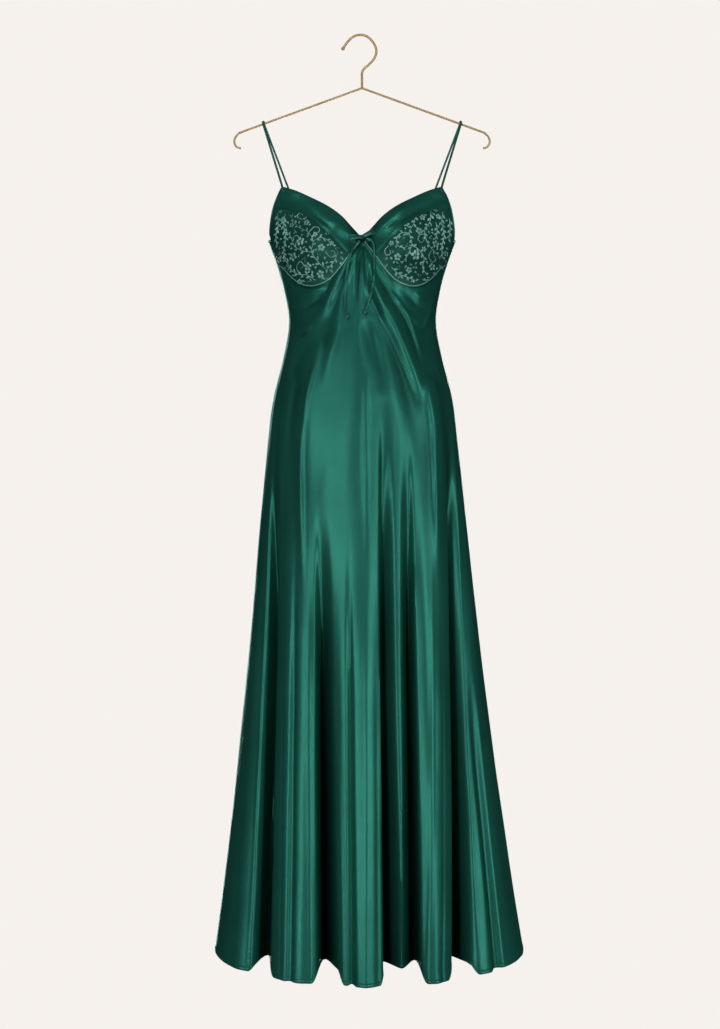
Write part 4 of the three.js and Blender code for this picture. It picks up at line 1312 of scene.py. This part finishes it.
def addStraps():
    # sewn: where the front end lies on the band, and how far off it
    strap = {"radius": 1.8, "flat": 0.86, "foot": (130.4, -250), "frontX": 162, "rearX": 160.6,
             "backX": 84, "heelDip": 0.8, "sewn": [(127.4, -265, 2.4), (128.6, -259, 2.4)]}
    reach = hanger["armRadius"] + strap["radius"] + gown["seamGap"]
    foot = gownPoint(angleOf(*strap["foot"]), strap["foot"][1])
    backAngle = np.pi - angleOf(strap["backX"], backEdge(np.pi * 0.7))
    heelZ = backEdge(backAngle) + gown["bindingRadius"] + strap["radius"] * 0.6 + gown["seamGap"]
    heel = gownPoint(backAngle, heelZ)
    turns = np.linspace(0, np.pi, 9)
    x = np.linspace(strap["frontX"], strap["rearX"], 9)
    z = armHeight(x) + reach * np.sin(turns) / math.cos(armSlope)
    over = np.stack([x, -reach * np.cos(turns), z], axis=1)
    sewn = [gownPoint(angleOf(x, z), z) + (0, -lift, 0) for x, z, lift in strap["sewn"]]
    end = heel - (0, strap["heelDip"], 0)
    stations = np.vstack([sewn, foot, between(foot, over[0], 0.35), between(foot, over[0], 0.7), over,
                          between(over[-1], end, 0.3), between(over[-1], end, 0.65), end])
    for name, side in sides.items():
        path = smoothLine(stations, 190) * (side, 1, 1)
        item = layTube(f"{name}_strap_rouleau", path, strap["radius"], sides=14, flat=strap["flat"])
        sayPiece(item, "satin", strapSatin, f"strap_{name}", f"tab_{name}")


addStraps()


# Brushed gilt: fine scratches and a warm stain that drifts along the wire
def addGilt():
    material = newMaterial("gilt", **giltLook)
    shader = material.node_tree.nodes["Principled BSDF"]
    place = addNode(material, "ShaderNodeTexCoord")
    tones = driftingTones(material, place, (0.8, 0.53, 0.21), (0.93, 0.65, 0.3), (0.32, 0.62),
                          Scale=38.0, Detail=5.0)
    scratch = addNode(material, "ShaderNodeTexNoise", Scale=320.0, Detail=2.0)
    bump = addNode(material, "ShaderNodeBump", Strength=0.08, Distance=0.00004)
    link(material, tones, "Color", shader, "Base Color")
    link(material, place, "Object", scratch, "Vector")
    link(material, scratch, "Fac", bump, "Height")
    link(material, bump, "Normal", shader, "Normal")
    return material


def addHanger():
    gilt = addGilt()
    half = [(x, armHeight(x)) for x in hanger["armPlaces"]] + [hanger["end"]] + hanger["curl"]
    right = np.array([(x, 0, z) for x, z in half])
    stations = np.vstack([right[::-1] * (-1, 1, 1), (0, 0, hanger["peak"] - hanger["bendDrop"]), right])
    arms = layTube("arms_wire", smoothLine(stations, 320, 30), hanger["armRadius"], sides=18)
    hookLine = np.array([(x, 0, z) for x, z in hanger["hook"]])
    hook = layTube("hook_wire", smoothLine(hookLine, 150), hanger["hookRadius"], sides=18)
    deselectAll()
    bpy.ops.mesh.primitive_uv_sphere_add(segments=28, ring_count=18, radius=hanger["tipRadius"] * mm,
                                         location=np.array(hanger["tip"]) * mm)
    tip = bpy.context.object
    bpy.ops.object.transform_apply(location=True)
    bpy.ops.object.shade_smooth()
    hook = joinAll([hook, tip], "hook_wire")
    sayPiece(arms, "gilt_wire", gilt, "hanger_arms")
    sayPiece(hook, "gilt_wire", gilt, "hanger_hook")


addHanger()
print("hanger bent")


# Studio: a pale backdrop for the camera, a dim room for the cloth, and softboxes
def addStudio():
    studio = {
        "backdrop": (0.921, 0.88, 0.847),
        "roomLight": 0.025,
        "roomTint": (0.9, 0.96, 1.0),
        "floorHeight": -1.9,
        "softboxes": {
            "key": {"place": (-1.3, -3.1, -1.15), "aim": (0.0, 0.0, -1.15), "size": (0.5, 3.0), "power": 29},
            "top": {"place": (-0.5, -2.1, 1.3), "aim": (0.0, 0.0, -0.35), "size": (0.9, 0.5), "power": 9},
            "right": {"place": (1.9, -2.7, -1.0), "aim": (0.0, 0.0, -1.0), "size": (0.35, 3.0), "power": 30},
            "back": {"place": (0.6, 3.2, -1.15), "aim": (0.0, 0.0, -1.15), "size": (0.5, 3.0), "power": 38},
            "behind": {"place": (-1.2, 2.9, -1.0), "aim": (0.0, 0.0, -1.0), "size": (0.35, 3.0), "power": 26},
        },
    }
    world = bpy.data.worlds.new("studio")
    bpy.context.scene.world = world
    world.use_nodes = True
    nodes = world.node_tree.nodes
    links = world.node_tree.links
    shown = nodes["Background"]
    shown.inputs["Color"].default_value = (*studio["backdrop"], 1)
    room = nodes.new("ShaderNodeBackground")
    setInputs(room, {"Color": (*studio["roomTint"], 1), "Strength": studio["roomLight"]})
    rays = nodes.new("ShaderNodeLightPath")
    choose = nodes.new("ShaderNodeMixShader")
    links.new(rays.outputs["Is Camera Ray"], choose.inputs["Fac"])
    links.new(room.outputs["Background"], choose.inputs[1])
    links.new(shown.outputs["Background"], choose.inputs[2])
    links.new(choose.outputs["Shader"], nodes["World Output"].inputs["Surface"])
    deselectAll()
    bpy.ops.mesh.primitive_plane_add(size=16, location=(0, 0, studio["floorHeight"]))
    floor = bpy.context.object
    floor.name = "floor"
    material = bpy.data.materials.new("pale_floor")
    material.use_nodes = True
    shader = material.node_tree.nodes["Principled BSDF"]
    setInputs(shader, {"Base Color": (0, 0, 0, 1), "Specular IOR Level": 0, "Roughness": 1,
                       "Emission Color": (*studio["backdrop"], 1), "Emission Strength": 1})
    floor.data.materials.append(material)
    floor.visible_diffuse = False
    floor.visible_glossy = False
    floor.visible_shadow = False
    for name, box in studio["softboxes"].items():
        away = np.array(box["place"]) - np.array(box["aim"])
        pitch = math.acos(away[2] / np.linalg.norm(away))
        heading = math.atan2(away[1], away[0]) + math.pi / 2
        bpy.ops.object.light_add(type="AREA", location=box["place"], rotation=(pitch, 0, heading))
        lamp = bpy.context.object
        lamp.name = name + "_softbox"
        lamp.data.shape = "RECTANGLE"
        lamp.data.size, lamp.data.size_y = box["size"]
        lamp.data.energy = box["power"]
        lamp.visible_camera = False
    bpy.context.scene.view_settings.view_transform = "Standard"


addStudio()
print("studio lit")
